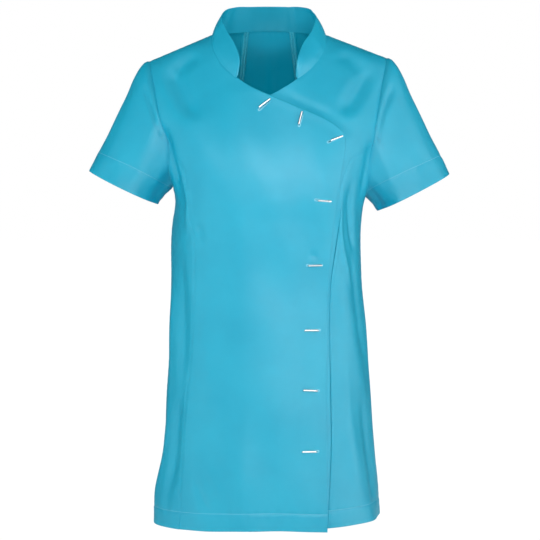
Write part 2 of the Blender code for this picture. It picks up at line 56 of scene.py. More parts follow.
def curves(names, rows):
    """Smooth curves through the rows of a table, one for each column over the first one."""
    rows = np.array(rows)
    rows = rows[np.argsort(rows[:, 0])]
    keys = rows[:, 0]

    def curve(values, at):
        slopes = np.gradient(values, keys)
        at = np.clip(np.asarray(at, float), keys[0], keys[-1])
        low = np.clip(np.searchsorted(keys, at) - 1, 0, len(keys) - 2)
        span = keys[low + 1] - keys[low]
        t = (at - keys[low]) / span
        start = values[low] * (2 * t**3 - 3 * t**2 + 1) + slopes[low] * span * (t**3 - 2 * t**2 + t)
        end = values[low + 1] * (3 * t**2 - 2 * t**3) + slopes[low + 1] * span * (t**3 - t**2)
        return start + end

    columns = zip(names.split()[1:], rows.T[1:])
    return {name: partial(curve, values) for name, values in columns}


def along(points, shares):
    """Place points at shares of the length of a smooth curve through an outline's points."""
    run = running_length(points)
    outline = curves("run x z", np.column_stack((run, points)))
    return outline["x"](run[-1] * shares), outline["z"](run[-1] * shares)


def read_off(run, path, at):
    """Points of a path at distances along it."""
    return np.stack([np.interp(at, run, values) for values in path.T], axis=-1)


def smooth(value, start, end):
    """Go from 0 at start to 1 at end, gently."""
    t = np.clip((value - start) / (end - start), 0, 1)
    return t * t * (3 - 2 * t)


def mound(distance, width, middle=0):
    """Soft mound, 1 high at its middle."""
    return np.exp(-((distance - middle) / width) ** 2)


# ---- the cut, as the solids have it

OVERLAP_LIFT = 0.0028    # how far the overlapping front lies outside the form
NECK_HALF = 0.09         # from the middle to where the shoulder seams meet the collar
NECK_TOP = 0.001         # height there
NECK_RISE = 0.057        # the form climbs on inside the neck by this much, first at this slope
NECK_SLOPE = 0.4
SECTION_POWER = 2.4      # a level section is an oval of this power
DROP_SCALE = 0.23        # metres of height for each radian of the downward angle, below the turn
HEM_HEIGHT = -0.77
HEM_TILT = 0.027         # the hem rises towards the wearer's left
OVERLAP_DROP = 0.006     # the overlap's free corner hangs this much lower
OVERLAP_DROP_START = -0.02
OVERLAP_DROP_RUN = 0.11
BACK_NECK = 0.015        # height of the back neck's middle
BACK_NECK_DIP = 0.014    # and how much lower its ends are

FRONT = -1
BACK = 1
DEPTH = {FRONT: "front", BACK: "back"}
TURN = {FRONT: -0.23, BACK: -0.16}  # above this height the form rounds to the shoulders

TORSO = curves("z right left front back", (
    (0.06, 0.206, 0.206, 0.068, 0.09),
    (-0.06, 0.203, 0.202, 0.086, 0.096),
    (-0.14, 0.189, 0.188, 0.109, 0.103),
    (-0.19, 0.171, 0.1745, 0.121, 0.104),
    (-0.241, 0.1535, 0.159, 0.127, 0.101),
    (-0.26, 0.15, 0.1525, 0.1265, 0.099),
    (-0.3, 0.153, 0.146, 0.12, 0.093),
    (-0.38, 0.155, 0.147, 0.11, 0.086),
    (-0.46, 0.158, 0.152, 0.109, 0.094),
    (-0.56, 0.163, 0.159, 0.114, 0.108),
    (-0.66, 0.1695, 0.1675, 0.12, 0.117),
    (-0.73, 0.182, 0.176, 0.124, 0.122),
    (-0.79, 0.1855, 0.181, 0.126, 0.125),
))

Side = namedtuple(
    "Side", "name sign shoulder slope underarm cuff_x cuff_z cuff_half cuff_lean",
)
RIGHT = Side("right", -1, 0.19, 0.42, -0.241, 0.232, -0.242, 0.0605, 25.9)
LEFT = Side("left", 1, 0.187, 0.38, -0.256, 0.2316, -0.2492, 0.0644, 27.3)

LOOP_STEPS = 30          # steps round an armhole, from the shoulder on
LOOP_STEP = math.radians(360 / LOOP_STEPS)
PRINCESS_STEP = 9        # where the front princess seam leaves it
UNDERARM_STEP = 15
ARMHOLE_POWER = 1.3      # how late it curves out to the underarm

CUFF_DEPTH = 0.046       # half the cuff's width from front to back
CUFF_DIP = 0.06          # its front lies lower by this share of that
SLEEVE_LEAVES = (0.9, 0.25, 0.35)  # its way at the armhole: outwards, forwards, down
SLEEVE_PULL = 0.38       # and how long it keeps to that

# Front princess seams below the armhole: height, and distance from the middle right and left
PRINCESS = (
    (-0.195, 0.143, 0.133), (-0.218, 0.1285, 0.1185), (-0.25, 0.1235, 0.109),
    (-0.285, 0.121, 0.1075), (-0.32, 0.1165, 0.105), (-0.384, 0.1146, 0.096),
    (-0.44, 0.118, 0.0953), (-0.51, 0.122, 0.0955), (-0.585, 0.131, 0.097),
    (-0.66, 0.135, 0.0963), (-0.72, 0.138, 0.0925), (-0.79, 0.1405, 0.088),
)

BACK_ROW_DROP = 0.012    # a side back's rows fall this far from the underarm to its inner seam
BACK_PRINCESS_STATION = 0.135      # where that meets the neck, of half a turn
BACK_PRINCESS = curves("z x", (
    (0.06, 0.034), (0.0, 0.039), (-0.06, 0.046), (-0.16, 0.06), (-0.24, 0.064), (-0.39, 0.059),
    (-0.56, 0.072), (-0.79, 0.086),
))["x"]

# Neck seam of the fronts, from the shoulder (0.5 of half a turn) to its front end (1)
NECK = curves("station right_x right_z left_x left_z", (
    (0.5, 0.09, 0.001, 0.09, 0.001),
    (0.625, 0.0875, -0.022, 0.089, -0.024),
    (0.75, 0.076, -0.046, 0.077, -0.0435),
    (0.875, 0.062, -0.0625, 0.061, -0.062),
    (1.0, 0.0498, -0.073, 0.0435, -0.076),
))
NECK_STEPS = 4
NECK_SIDE_STEPS = 2      # of them beside the strip between the armhole and the neck

# Free edges of the fronts as seen from the front, x and z
OVERLAP_SLANT = (
    (-0.0498, -0.073), (-0.025, -0.09), (0.0, -0.102), (0.026, -0.1135), (0.052, -0.125),
    (0.078, -0.136), (0.1, -0.1485), (0.1125, -0.159),
)
OVERLAP_DOWN = (
    (0.1125, -0.159), (0.1165, -0.171), (0.115, -0.19), (0.1085, -0.228), (0.1014, -0.266),
    (0.0955, -0.311), (0.0925, -0.36), (0.0905, -0.42), (0.0891, -0.5), (0.0886, -0.62),
    (0.0886, -0.79),
)
UNDERLAP_SLANT = (
    (0.0435, -0.076), (0.0295, -0.086), (0.005, -0.099), (-0.03, -0.1165),
)
UNDERLAP_DOWN = (
    (-0.03, -0.1165), (-0.03, -0.15), (-0.005, -0.23), (0.018, -0.3), (0.024, -0.4),
    (0.024, -0.79),
)
BODY_STEPS = 18          # steps from the underarm to the hem
ROW_CROWDING = 1.35      # that lie closer together near the underarm
FRONT_LEVEL = -0.212     # height of the free edges where the princess seams leave the armholes
TOP_FADE = 3             # how fast a panel's rows lose the shape of its top edge

SHOULDER_STEPS = 4
NECK_END = SHOULDER_STEPS + NECK_STEPS - NECK_SIDE_STEPS  # step where a front leaves its neckline
OVERLAP_STEPS = 6
UNDERLAP_STEPS = 3
SIDE_NECK_STEPS = 3
BACK_CENTRE_STEPS = 6

# Upper edge of the collar, from the middle of the back (0) to its front ends (1)
COLLAR_EDGE = curves("station right_x left_x y z", (
    (0.0, 0.0, 0.0, 0.041, 0.0515),
    (0.125, 0.029, 0.029, 0.0395, 0.0513),
    (0.25, 0.0515, 0.051, 0.031, 0.05),
    (0.375, 0.068, 0.067, 0.014, 0.0435),
    (0.5, 0.0745, 0.0735, -0.005, 0.029),
    (0.625, 0.067, 0.068, -0.029, 0.006),
    (0.75, 0.0535, 0.053, -0.053, -0.019),
    (0.875, 0.0455, 0.0445, -0.068, -0.044),
    (1.0, 0.048, 0.042, -0.0715, -0.0705),
))
COLLAR_BELLY = 0.0015    # the band bulges this far halfway up

# Middle of each bar as seen from the front, x and z, and its slope in degrees
BARS = (
    (-0.0069, -0.1165, 42), (0.0471, -0.1393, 75), (0.102, -0.1699, 24.5), (0.083, -0.2641, -6),
    (0.0695, -0.3632, 0), (0.0643, -0.4634, 0), (0.0624, -0.5557, -3), (0.0608, -0.6493, 0),
)
BAR_LENGTH = 0.0235
BAR_DIAMETER = 0.003
BAR_HEIGHT = 0.0055      # axis of a bar above the form

# ---- how it is made up

TWILL = 0.00045          # thickness of one layer of the cloth
GRID_STEP = 0.003        # spacing of the shells' points
# Spacing of points beside an edge, and across a hem's stitches
EDGE_STEPS = (0.00008, 0.00018, 0.00032, 0.00055, 0.0009, 0.0015, 0.0025)
HEM_ROWS = (-0.003, -0.0015, 0.0, 0.0015, 0.003)
SEAM_IN = 0.00008        # edges stop this far short of their seam line, for half a layer
SEAM_ROLL = 0.00032      # radius of a pressed seam's fold
SEAM_TURNING = 0.0045    # seam allowance inside, pressed open
OVERLOCK_DEPTH = SEAM_TURNING - 0.0022  # middle of its overlocked edge
EDGE_ROLL = 0.0007       # radius of a hem's or a front edge's fold
SLANT_ROLL = 0.00145     # the slanted edge of the overlap is softer
SLANT_LIFT = 0.001       # and stands this much prouder
CURL = 0.12              # a seam's turnings stand off by this share of their width
EDGE_TURNING = 0.012     # turned under along the front edges
HEM_DEPTH = 0.027        # the hem is stitched this far above its edge
HEM_SPARE = 0.002        # the turned-up cloth ends this far past the stitches
SEAM_DIP = 0.00012       # at a seam the cloth sinks this far
SEAM_PROUD = 0.00026     # over the turnings it stands this proud
SEAM_PUCKER = 0.00026    # and the thread draws it in as much
PUCKER_PITCH = 0.0125
HEM_DIP = 0.00055        # the same for a hem's stitches
HEM_PROUD = 0.00045
HEM_RIPPLE = 0.00022
HEM_RIPPLE_PITCH = 0.017
HEM_WAVE = 0.0009        # the hem's edge waves this far
HEM_WAVE_PITCH = 0.071
CUFF_ROWS = (-0.006, -0.0045, -0.003, -0.0015, 0.0, 0.0015, 0.003, 0.0045, 0.006)
# Depth of a cuff's stitches at the shoulder side, the front or back, and the underarm
CUFF_HEM = {"right": (0.033, 0.0385, 0.035), "left": (0.032, 0.039, 0.042)}
UNDER_SLANT = 0.0022     # the lower layer sinks this far in a trough along the slanted edge
UNDER_DOWN = 0.0014      # and this far along the straight one
UNDER_GAP = 0.011        # from the edge to the trough
SLEEVE_CLEARANCE = 0.00005
COLLAR_TUCK = 0.001      # the collar laps this far over the neck seam
COLLAR_HALF = 0.00075    # half the collar's thickness
COLLAR_STITCHED = 0.0045  # its edge stitching, from the edge
COLLAR_DIP = 0.00025     # and how far it sinks there
COLLAR_RIPPLE = 0.00018  # ripples where it is sewn to the neck
COLLAR_SWELL = 0.0006    # slow waves of its upper edge
SHANK_RADIUS = 0.00085
SHANK_FOOT = 0.0004      # height of a shank's lower end
SHANK_HEAD = BAR_HEIGHT - 0.0008
BAR_SLANT = 0.55         # lean of a bar's cut ends
# Eased rim of a bar's end: distance from the end, and share of the radius there
BAR_RIM = ((0.0, 0.0), (0.0, 0.82), (0.00012, 0.93), (0.00035, 0.985), (0.0008, 1.0), (0.0045, 1.0))
HEM_STITCH = {"pitch": 0.003, "length": 0.0025, "width": 0.0006, "lift": 0.0004}
OVERLOCK_STITCH = {"pitch": 0.0014, "length": 0.0048, "width": 0.001, "lift": 0.00048}
OVERLOCK_LEAN = 0.35
# A stitch from end to end: place, thickness and height as shares of its length and half width
STITCH_SHAPE = (
    (-0.5, 0.35, -1.0), (-0.36, 0.9, -0.2), (0.0, 1.0, 0.2), (0.36, 0.9, -0.2), (0.5, 0.35, -1.0),
)
HOLE_LENGTH = 0.0215
HOLE_WIDTH = 0.0009
HOLE_STITCH = 0.0015     # width of the worked edge
HOLE_PITCH = 0.0011      # its real stitches are 0.4 mm apart and would not show

# How far each buttonhole lies along its bar and across it
HOLE_SHIFTS = (
    (-0.0012, -0.0012), (-0.0008, -0.0016), (-0.0034, -0.0002), (-0.0026, 0.0), (0.0, -0.0004),
    (0.0026, -0.0002), (0.0026, -0.0002), (0.0028, 0.0),
)

# Each panel's cut: flat width and length, area with turnings and hems, and what it rests on
CUT = {
    "front_right": ((0.31, 0.8), 0.173, "front_left"),
    "front_left": ((0.22, 0.79), 0.081, "collar"),
    "side_front_right": ((0.13, 0.62), 0.055, "front_right"),
    "side_front_left": ((0.155, 0.6), 0.068, "front_left"),
    "side_back_right": ((0.21, 0.83), 0.115, "back_centre"),
    "side_back_left": ((0.205, 0.83), 0.111, "back_centre"),
    "back_centre": ((0.175, 0.8), 0.103, "collar"),
    "sleeve_right": ((0.38, 0.175), 0.044, "side_back_right"),
    "sleeve_left": ((0.38, 0.185), 0.047, "side_back_left"),
}

BACKS = ("back_centre", "side_back_right", "side_back_left")

# Upright creases of the collar: place round the neck, width there and rise
COLLAR_CREASES = (
    (0.135, 0.016, -0.0006), (0.185, 0.016, 0.0004), (-0.3, 0.03, -0.001),
    (0.42, 0.035, -0.0012), (-0.56, 0.03, 0.0008), (0.66, 0.03, 0.0009),
)

FLOOR_HEIGHT = -1.1
FLOOR_REACH = 60.0
PROBE = 6                # trial points a step, when the cloth's lengths are measured
EDGE_REACH = 0.045       # cloth further than this from a line isn't shaped by it
SAME_STEP = 0.0001
SIDE_DEPTH = 0.001       # an edge nearer the middle of the sides than this is a side seam
WELD = 0.0000001

# ---- colours, as sRGB

TURQUOISE = "#1AA6C4"
TURQUOISE_DEEP = "#129EBD"
TURQUOISE_SHADE = "#0088AC"
THREAD_LIGHT = "#86CCE2"
OVERLOCK_LIGHT = "#60DCEF"
BUTTONHOLE_LIGHT = "#8FD6EC"
STEEL = "#D9DBDD"
STEEL_BRIGHT = "#EDEEEF"
PAPER_WHITE = "#F6F6F4"
WHITE = "#FFFFFF"


# ---- the worn form

def half_width(sine, z):
    return np.where(sine < 0, TORSO["right"](z), TORSO["left"](z))


def ridge(x):
    """Height of the shoulder line, which climbs on inside the neck."""
    reach = np.abs(x)
    slope = np.where(x < 0, RIGHT.slope, LEFT.slope)
    outside = NECK_TOP - slope * (reach - NECK_HALF)
    inside = np.clip(1 - (x / NECK_HALF) ** 2, 0, None)
    climb = NECK_TOP + NECK_SLOPE * NECK_HALF / 2 * inside + NECK_RISE * inside**2
    return np.where(reach > NECK_HALF, outside, climb)


def to_form(x, z, face):
    """Give the two angles of a point of the form: round the body, and down from the shoulder."""
    x, z = np.broadcast_arrays(np.asarray(x, float), np.asarray(z, float))
    turn = TURN[face]
    sine = np.clip(x / half_width(x, z), -1, 1)
    rise = np.clip((z - turn) / (ridge(x) - turn), 0, 1)
    down = np.where(z > turn, np.arccos(rise), math.pi / 2 + (turn - z) / DROP_SCALE)
    return np.stack((np.arcsin(sine), down), axis=-1)


def on_form(angles, face):
    """Give the points in space for pairs of angles on the form."""
    turn = TURN[face]
    sine = np.sin(angles[..., 0])
    down = angles[..., 1]
    upper = down < math.pi / 2
    z = turn + np.where(upper, -turn * np.cos(down), -DROP_SCALE * (down - math.pi / 2))
    for _ in range(12):
        x = half_width(sine, z) * sine
        z = np.where(upper, turn + np.cos(down) * (ridge(x) - turn), z)
    section = np.clip(1 - np.abs(sine) ** SECTION_POWER, 0, None) ** (1 / SECTION_POWER)
    rounding = np.where(upper, np.sin(down), 1)
    y = face * TORSO[DEPTH[face]](z) * section * rounding
    return np.stack((x, y, z), axis=-1)


def unit(vectors):
    return vectors / np.maximum(np.linalg.norm(vectors, axis=-1, keepdims=True), 1e-12)


def outward(angles, face, step=0.01):
    """Unit normals of the form."""
    side = math.pi / 2 - 1.05 * step
    angles = np.stack((np.clip(angles[..., 0], -side, side), angles[..., 1]), axis=-1)
    across = np.array((step, 0.0))
    down = np.array((0.0, step))
    run = on_form(angles + across, face) - on_form(angles - across, face)
    fall = on_form(angles + down, face) - on_form(angles - down, face)
    return unit(face * np.cross(run, fall))


def hem_height(x):
    return HEM_HEIGHT + HEM_TILT * x


def overlap_hem(x):
    """Height of the overlap's hem, which drops towards its free corner."""
    share = np.clip((x - OVERLAP_DROP_START) / OVERLAP_DROP_RUN, 0, 1)
    return hem_height(x) - OVERLAP_DROP * share**2


# ---- seam lines, as angles

def loop_points(side, steps):
    """Points x and z of an armhole at steps round its loop."""
    middle = np.cos(np.asarray(steps) * LOOP_STEP)
    top = float(ridge(np.array(side.sign * side.shoulder)))
    z = (top + side.underarm) / 2 + (top - side.underarm) / 2 * middle
    under = float(half_width(side.sign, side.underarm))
    share = np.clip((z - side.underarm) / (top - side.underarm), 0, 1)
    x = under + (side.shoulder - under) * share**ARMHOLE_POWER
    return side.sign * x, z


def armhole(side, face, steps):
    x, z = loop_points(side, steps)
    return to_form(x, z, face)


def down_to_hem(start, steps, face, place):
    """A seam from its start to the hem, at steps of the body, where place gives x at a height."""
    end = HEM_HEIGHT
    for _ in range(3):
        end = hem_height(float(place(np.array(end))))
    z = start + (end - start) * (np.clip(steps, 0, None) / BODY_STEPS) ** ROW_CROWDING
    return to_form(place(z), z, face)


def princess(side, steps):
    x, z = loop_points(side, PRINCESS_STEP)
    start = (float(z), abs(float(x)), abs(float(x)))
    place = curves("z right left", (start,) + PRINCESS)[side.name]
    return down_to_hem(start[0], steps, FRONT, lambda z: side.sign * place(z))


def side_seam(side, face, steps):
    return down_to_hem(side.underarm, steps, face, lambda z: side.sign * half_width(side.sign, z))


def back_neck(stations):
    x = NECK_HALF * np.sin(np.asarray(stations) * math.pi)
    z = BACK_NECK - BACK_NECK_DIP * (x / NECK_HALF) ** 2
    return to_form(x, z, BACK)


def back_princess(side, steps):
    """Back princess seam from the neck to the hem, a step for each step of the side back."""
    start = BACK_NECK - BACK_NECK_DIP * math.sin(BACK_PRINCESS_STATION * math.pi) ** 2
    level = side.underarm - BACK_ROW_DROP
    end = hem_height(side.sign * float(BACK_PRINCESS(HEM_HEIGHT - HEM_TILT)))
    upper = level + (start - level) * (1 + np.cos(np.clip(steps, 0, UNDERARM_STEP) * LOOP_STEP)) / 2
    past = np.clip(steps - UNDERARM_STEP, 0, None) / BODY_STEPS
    z = np.where(steps <= UNDERARM_STEP, upper, level + (end - level) * past**ROW_CROWDING)
    neck_x = NECK_HALF * math.sin(BACK_PRINCESS_STATION * math.pi)
    offset = neck_x - float(BACK_PRINCESS(start))
    x = BACK_PRINCESS(z) + offset * (1 - smooth(steps, 0, 3))
    return to_form(side.sign * x, z, BACK)


def front_neck(side, steps):
    stations = 0.5 + 0.5 * np.asarray(steps) / NECK_STEPS
    return to_form(
        side.sign * NECK[side.name + "_x"](stations), NECK[side.name + "_z"](stations), FRONT,
    )


def front_outer(side, steps):
    """Outer edge of a front: the armhole, then the princess seam."""
    on_armhole = armhole(side, FRONT, np.clip(steps, 0, PRINCESS_STEP))
    below = princess(side, np.clip(steps - PRINCESS_STEP, 0, None))
    return np.where((steps <= PRINCESS_STEP)[:, None], on_armhole, below)


def front_inner(down, hem, steps):
    """Inner edge of a front from the end of its neckline to the hem."""
    place = curves("z x", [(z, x) for x, z in down])["x"]
    end = float(hem(np.array(down[-1][0])))
    share = (steps - NECK_SIDE_STEPS) / (PRINCESS_STEP - NECK_SIDE_STEPS)
    upper = down[0][1] + (FRONT_LEVEL - down[0][1]) * share
    past = np.clip(steps - PRINCESS_STEP, 0, None) / BODY_STEPS
    lower = FRONT_LEVEL + (end - FRONT_LEVEL) * past**ROW_CROWDING
    z = np.where(steps <= PRINCESS_STEP, upper, lower)
    return to_form(place(z), z, FRONT)


def straight(start, end, share):
    return start + (end - start) * np.asarray(share)[:, None]


def hem_edge(start, end, share, face, hem=hem_height):
    x = on_form(straight(start, end, share), face)[:, 0]
    return to_form(x, hem(x), face)


# ---- panels

def fill(outer, inner, top, bottom, v, u):
    """Fill a four-sided panel between its edges, as a grid of angles."""
    v = v[:, None, None]
    u = u[None, :, None]
    fade = (1 - v) ** TOP_FADE
    between_sides = (1 - u) * outer[:, None, :] + u * inner[:, None, :]
    between_ends = fade * top[None, :, :] + (1 - fade) * bottom[None, :, :]
    corners = fade * ((1 - u) * outer[0] + u * inner[0])
    corners = corners + (1 - fade) * ((1 - u) * outer[-1] + u * inner[-1])
    return between_sides + between_ends - corners


def front_strip(side, rows, columns):
    """The part of a front between its armhole and the side of the neck."""
    outer = front_outer(side, rows)
    inner = front_neck(side, rows)
    share = columns / SHOULDER_STEPS
    top = straight(outer[0], inner[0], share)
    bottom = straight(outer[-1], inner[-1], share)
    return fill(outer, inner, top, bottom, rows / NECK_SIDE_STEPS, share)


def front_rest(side, slant, down, slant_steps, hem, rows, columns):
    """The part of a front below its strip, from the armhole to the free edge."""
    last = NECK_END + slant_steps
    outer = front_outer(side, rows)
    inner = front_inner(down, hem, rows)
    neck_steps = NECK_SIDE_STEPS + np.clip(columns - SHOULDER_STEPS, 0, NECK_STEPS)
    neck = front_neck(side, neck_steps)
    turn = front_neck(side, np.array((NECK_SIDE_STEPS, NECK_STEPS)))
    shoulder = straight(outer[0], turn[0], columns / SHOULDER_STEPS)
    neckline = to_form(*along(slant, np.clip((columns - NECK_END) / slant_steps, 0, 1)), FRONT)
    top = np.where((columns < SHOULDER_STEPS)[:, None], shoulder, neck)
    top = np.where((columns > NECK_END)[:, None], neckline, top)
    bottom = hem_edge(outer[-1], inner[-1], columns / last, FRONT, hem)
    v = (rows - rows[0]) / (rows[-1] - rows[0])
    grid = fill(outer, inner, top, bottom, v, columns / last)
    near = (top[:, 0] - outer[0, 0]) / (turn[0, 0] - outer[0, 0])
    far = (top[:, 0] - turn[1, 0]) / (inner[0, 0] - turn[1, 0])
    hung_near = outer[:, :1] + (turn[0, 0] - outer[:, :1]) * near
    hung_far = turn[1, 0] + (inner[:, :1] - turn[1, 0]) * far
    hung = np.where(columns < SHOULDER_STEPS, hung_near, top[:, 0])
    hung = np.where(columns > NECK_END, hung_far, hung)
    share = smooth(rows, PRINCESS_STEP, PRINCESS_STEP + BODY_STEPS)[:, None]
    grid[..., 0] = hung + (grid[..., 0] - hung) * share
    return grid


def side_front(side, rows, columns):
    last = UNDERARM_STEP - PRINCESS_STEP
    outer = side_seam(side, FRONT, rows)
    inner = princess(side, rows)
    top = armhole(side, FRONT, UNDERARM_STEP - columns)
    bottom = hem_edge(outer[-1], inner[-1], columns / last, FRONT)
    return fill(outer, inner, top, bottom, rows / BODY_STEPS, columns / last)


def side_back(side, rows, columns):
    last = SHOULDER_STEPS + SIDE_NECK_STEPS
    on_armhole = armhole(side, BACK, np.clip(rows, 0, UNDERARM_STEP))
    below = side_seam(side, BACK, rows - UNDERARM_STEP)
    outer = np.where((rows <= UNDERARM_STEP)[:, None], on_armhole, below)
    inner = back_princess(side, rows)
    share = np.clip((columns - SHOULDER_STEPS) / SIDE_NECK_STEPS, 0, 1)
    neck = back_neck(side.sign * (0.5 + (BACK_PRINCESS_STATION - 0.5) * share))
    corner = back_neck(np.array((side.sign * 0.5,)))[0]
    shoulder = straight(outer[0], corner, columns / SHOULDER_STEPS)
    top = np.where((columns < SHOULDER_STEPS)[:, None], shoulder, neck)
    bottom = hem_edge(outer[-1], inner[-1], columns / last, BACK)
    return fill(outer, inner, top, bottom, rows / (UNDERARM_STEP + BODY_STEPS), columns / last)


def back_centre(rows, columns):
    outer = back_princess(RIGHT, rows)
    inner = back_princess(LEFT, rows)
    share = columns / BACK_CENTRE_STEPS
    top = back_neck(BACK_PRINCESS_STATION * (2 * share - 1))
    bottom = hem_edge(outer[-1], inner[-1], share, BACK)
    return fill(outer, inner, top, bottom, rows / (UNDERARM_STEP + BODY_STEPS), share)


# ---- creases and folds

# Soft folds of the body: degrees round it (0 front, 90 wearer's left, 180 back) and height at
# both ends, bow of the line between them, half width, and height of the ridge (or trough)
FOLDS = (
    (-61, -0.145, -68, -0.25, 0.004, 0.013, -0.0085),
    (-57, -0.205, -55, -0.315, -0.002, 0.008, 0.0042),
    (-45, -0.3, -41, -0.335, 0.002, 0.008, -0.0022),
    (-50, -0.05, -37, -0.135, 0.004, 0.015, -0.007),
    (-34, -0.03, -46, -0.062, 0.003, 0.012, -0.004),
    (52, -0.05, 36, -0.132, -0.004, 0.015, -0.007),
    (34, -0.03, 46, -0.062, -0.003, 0.012, -0.0038),
    (62, -0.17, 69, -0.258, -0.003, 0.011, -0.0046),
    (46, -0.255, 60, -0.4, 0.006, 0.007, 0.0034),
    (52, -0.235, 68, -0.345, 0.004, 0.009, -0.0048),
    (62, -0.33, 74, -0.52, 0.005, 0.012, -0.0026),
    (-63, -0.34, -58, -0.56, -0.006, 0.013, -0.0026),
    (-75, -0.38, -72, -0.64, 0.004, 0.014, 0.0026),
    (-58, -0.56, -62, -0.75, 0.004, 0.014, -0.0048),
    (-74, -0.6, -80, -0.76, 0.003, 0.012, 0.0029),
    (-41, -0.69, -29, -0.748, 0.002, 0.007, -0.0018),
    (-34, -0.676, -24, -0.72, -0.002, 0.007, 0.0013),
    (66, -0.56, 72, -0.755, -0.004, 0.014, -0.0042),
    (50, -0.48, 55, -0.74, 0.004, 0.014, 0.0021),
    (82, -0.43, 84, -0.7, -0.004, 0.014, 0.0026),
    (20, -0.6, 12, -0.745, 0.004, 0.016, -0.0013),
    (-12, -0.56, -16, -0.74, -0.004, 0.018, 0.0013),
    (25, -0.348, 31, -0.3495, 0.0, 0.0055, -0.0016),
    # hidden sides
    (178.5, -0.01, 178.5, -0.26, 0.0, 0.0045, -0.0019),
    (98, -0.285, 108, -0.43, 0.004, 0.011, -0.0035),
    (-98, -0.275, -106, -0.42, -0.004, 0.011, -0.0035),
    (128, -0.33, 150, -0.395, 0.006, 0.01, -0.0035),
    (-130, -0.345, -152, -0.405, -0.006, 0.01, -0.0032),
    (122, -0.385, 146, -0.44, 0.005, 0.009, -0.0026),
    (-126, -0.4, -145, -0.452, -0.004, 0.009, -0.0024),
    (118, -0.11, 128, -0.235, 0.004, 0.012, -0.0048),
    (-117, -0.105, -127, -0.225, -0.004, 0.012, -0.0048),
    (140, -0.52, 136, -0.75, 0.006, 0.015, -0.0042),
    (-138, -0.5, -133, -0.75, -0.006, 0.015, -0.0045),
    (165, -0.48, 168, -0.745, 0.005, 0.015, 0.0029),
    (-168, -0.54, -163, -0.745, 0.004, 0.016, -0.0026),
    (108, -0.52, 104, -0.75, 0.004, 0.014, 0.0038),
    (-108, -0.54, -103, -0.75, -0.004, 0.014, 0.0035),
)
BODY_RADIUS = 0.15       # turns the degrees of a fold into a length

# Slow rise and fall of the whole cloth: waves round the body, waves a metre down it, phase, rise
SWELLS = (
    (3, 1.3, 0.4, 0.00105),
    (5, 2.1, 2.0, 0.0009),
    (8, 1.1, 4.1, 0.00075),
    (11, 3.7, 1.3, 0.00052),
    (4, 7.9, 5.2, 0.00045),
    (14, 5.3, 3.3, 0.00033),
)

# Folds of a sleeve: degrees round it (0 shoulder, 90 front, 180 underarm) and distance from the
# armhole at both ends, then as above
SLEEVE_FOLDS = (
    (46, 0.031, 94, 0.016, 0.001, 0.005, -0.0042),
    (44, 0.02, 90, 0.008, 0.001, 0.005, 0.0012),
    (100, 0.008, 98, 0.026, 0.0, 0.0036, -0.0024),
    (20, 0.037, 34, 0.135, 0.003, 0.011, -0.001),
    (62, 0.052, 74, 0.142, -0.003, 0.012, 0.0008),
    (-60, 0.015, -95, 0.112, 0.003, 0.011, -0.0026),
    (-105, 0.008, -128, 0.15, -0.003, 0.011, 0.002),
    (-30, 0.045, -42, 0.142, 0.003, 0.012, -0.0012),
    (0, 0.05, 0, 0.125, 0.0, 0.03, -0.002),
)
UNDERARM_FOLDS = {
    "right": (
        (97, 0.01, 112, 0.185, 0.0, 0.013, 0.003),
        (149, -0.08, 157, 0.185, 0.0, 0.018, -0.0066),
    ),
    "left": (
        (104, 0.01, 121, 0.185, 0.0, 0.013, 0.003),
        (153, -0.08, 160, 0.185, 0.0, 0.017, -0.0064),
    ),
}
SLEEVE_RADIUS = 0.055
SLEEVE_LENGTH = 0.15
SLEEVE_HEAD = 0.003      # fullness eased into the sleeve head


def fold_rise(turn, run, folds, radius):
    """Rise of the cloth from a table of folds, at turns in degrees and runs in metres."""
    total = np.zeros(np.broadcast(turn, run).shape)
    for start_turn, start, end_turn, end, bow, width, rise in folds:
        across = np.radians(end_turn - start_turn) * radius
        down = end - start
        length = math.hypot(across, down)
        side = np.radians((turn - start_turn + 180) % 360 - 180) * radius
        share = (side * across + (run - start) * down) / length**2
        off = (side * down - (run - start) * across) / length
        off = off - bow * 4 * share * (1 - share)
        ends = smooth(share, -0.1, 0.28) * (1 - smooth(share, 0.72, 1.1))
        total += rise * mound(off, width) * ends
    return total


def relief(angles, face):
    """Rise of the body's cloth over the form."""
    turn = np.degrees(angles[..., 0])
    turn = turn if face == FRONT else 180 - turn
    z = on_form(angles, face)[..., 2]
    total = fold_rise(turn, z, FOLDS, BODY_RADIUS)
    for waves, down, phase, rise in SWELLS:
        total += rise * np.sin(np.radians(waves * turn) + 2 * math.pi * down * z + phase)
    if face == BACK:
        total = total * (1 - smooth(z, -0.03, 0.006))
    return total * smooth(angles[..., 1], 0.1, 0.55)


def overlap_lift(points):
    """The overlapping front lies clear of the other one, and joins the form at its own seams."""
    x, z = points[..., 0], points[..., 2]
    return OVERLAP_LIFT * smooth(x, -0.09, -0.035) * smooth(-z, 0.073, 0.1)


def roll(distance, radius):
    """Drop of the cloth as it rolls over a fold of this radius."""
    t = np.clip(1 - distance / radius, 0, 1)
    return radius * (1 - np.sqrt(1 - t * t))


def seam_rise(distance, run, phase):
    """Beside a seam the cloth sinks, stands proud over the turning, and puckers a little."""
    uneven = phase + 1.7 * np.sin(run * 61 + phase)
    pucker = 0.5 + 0.5 * np.sin(run * 2 * math.pi / PUCKER_PITCH + uneven)
    sunk = -SEAM_DIP * mound(distance, 0.0018)
    proud = SEAM_PROUD * mound(distance, 0.0026, SEAM_TURNING + 0.0003)
    return sunk + proud + SEAM_PUCKER * pucker * mound(distance, 0.0045, 0.004)


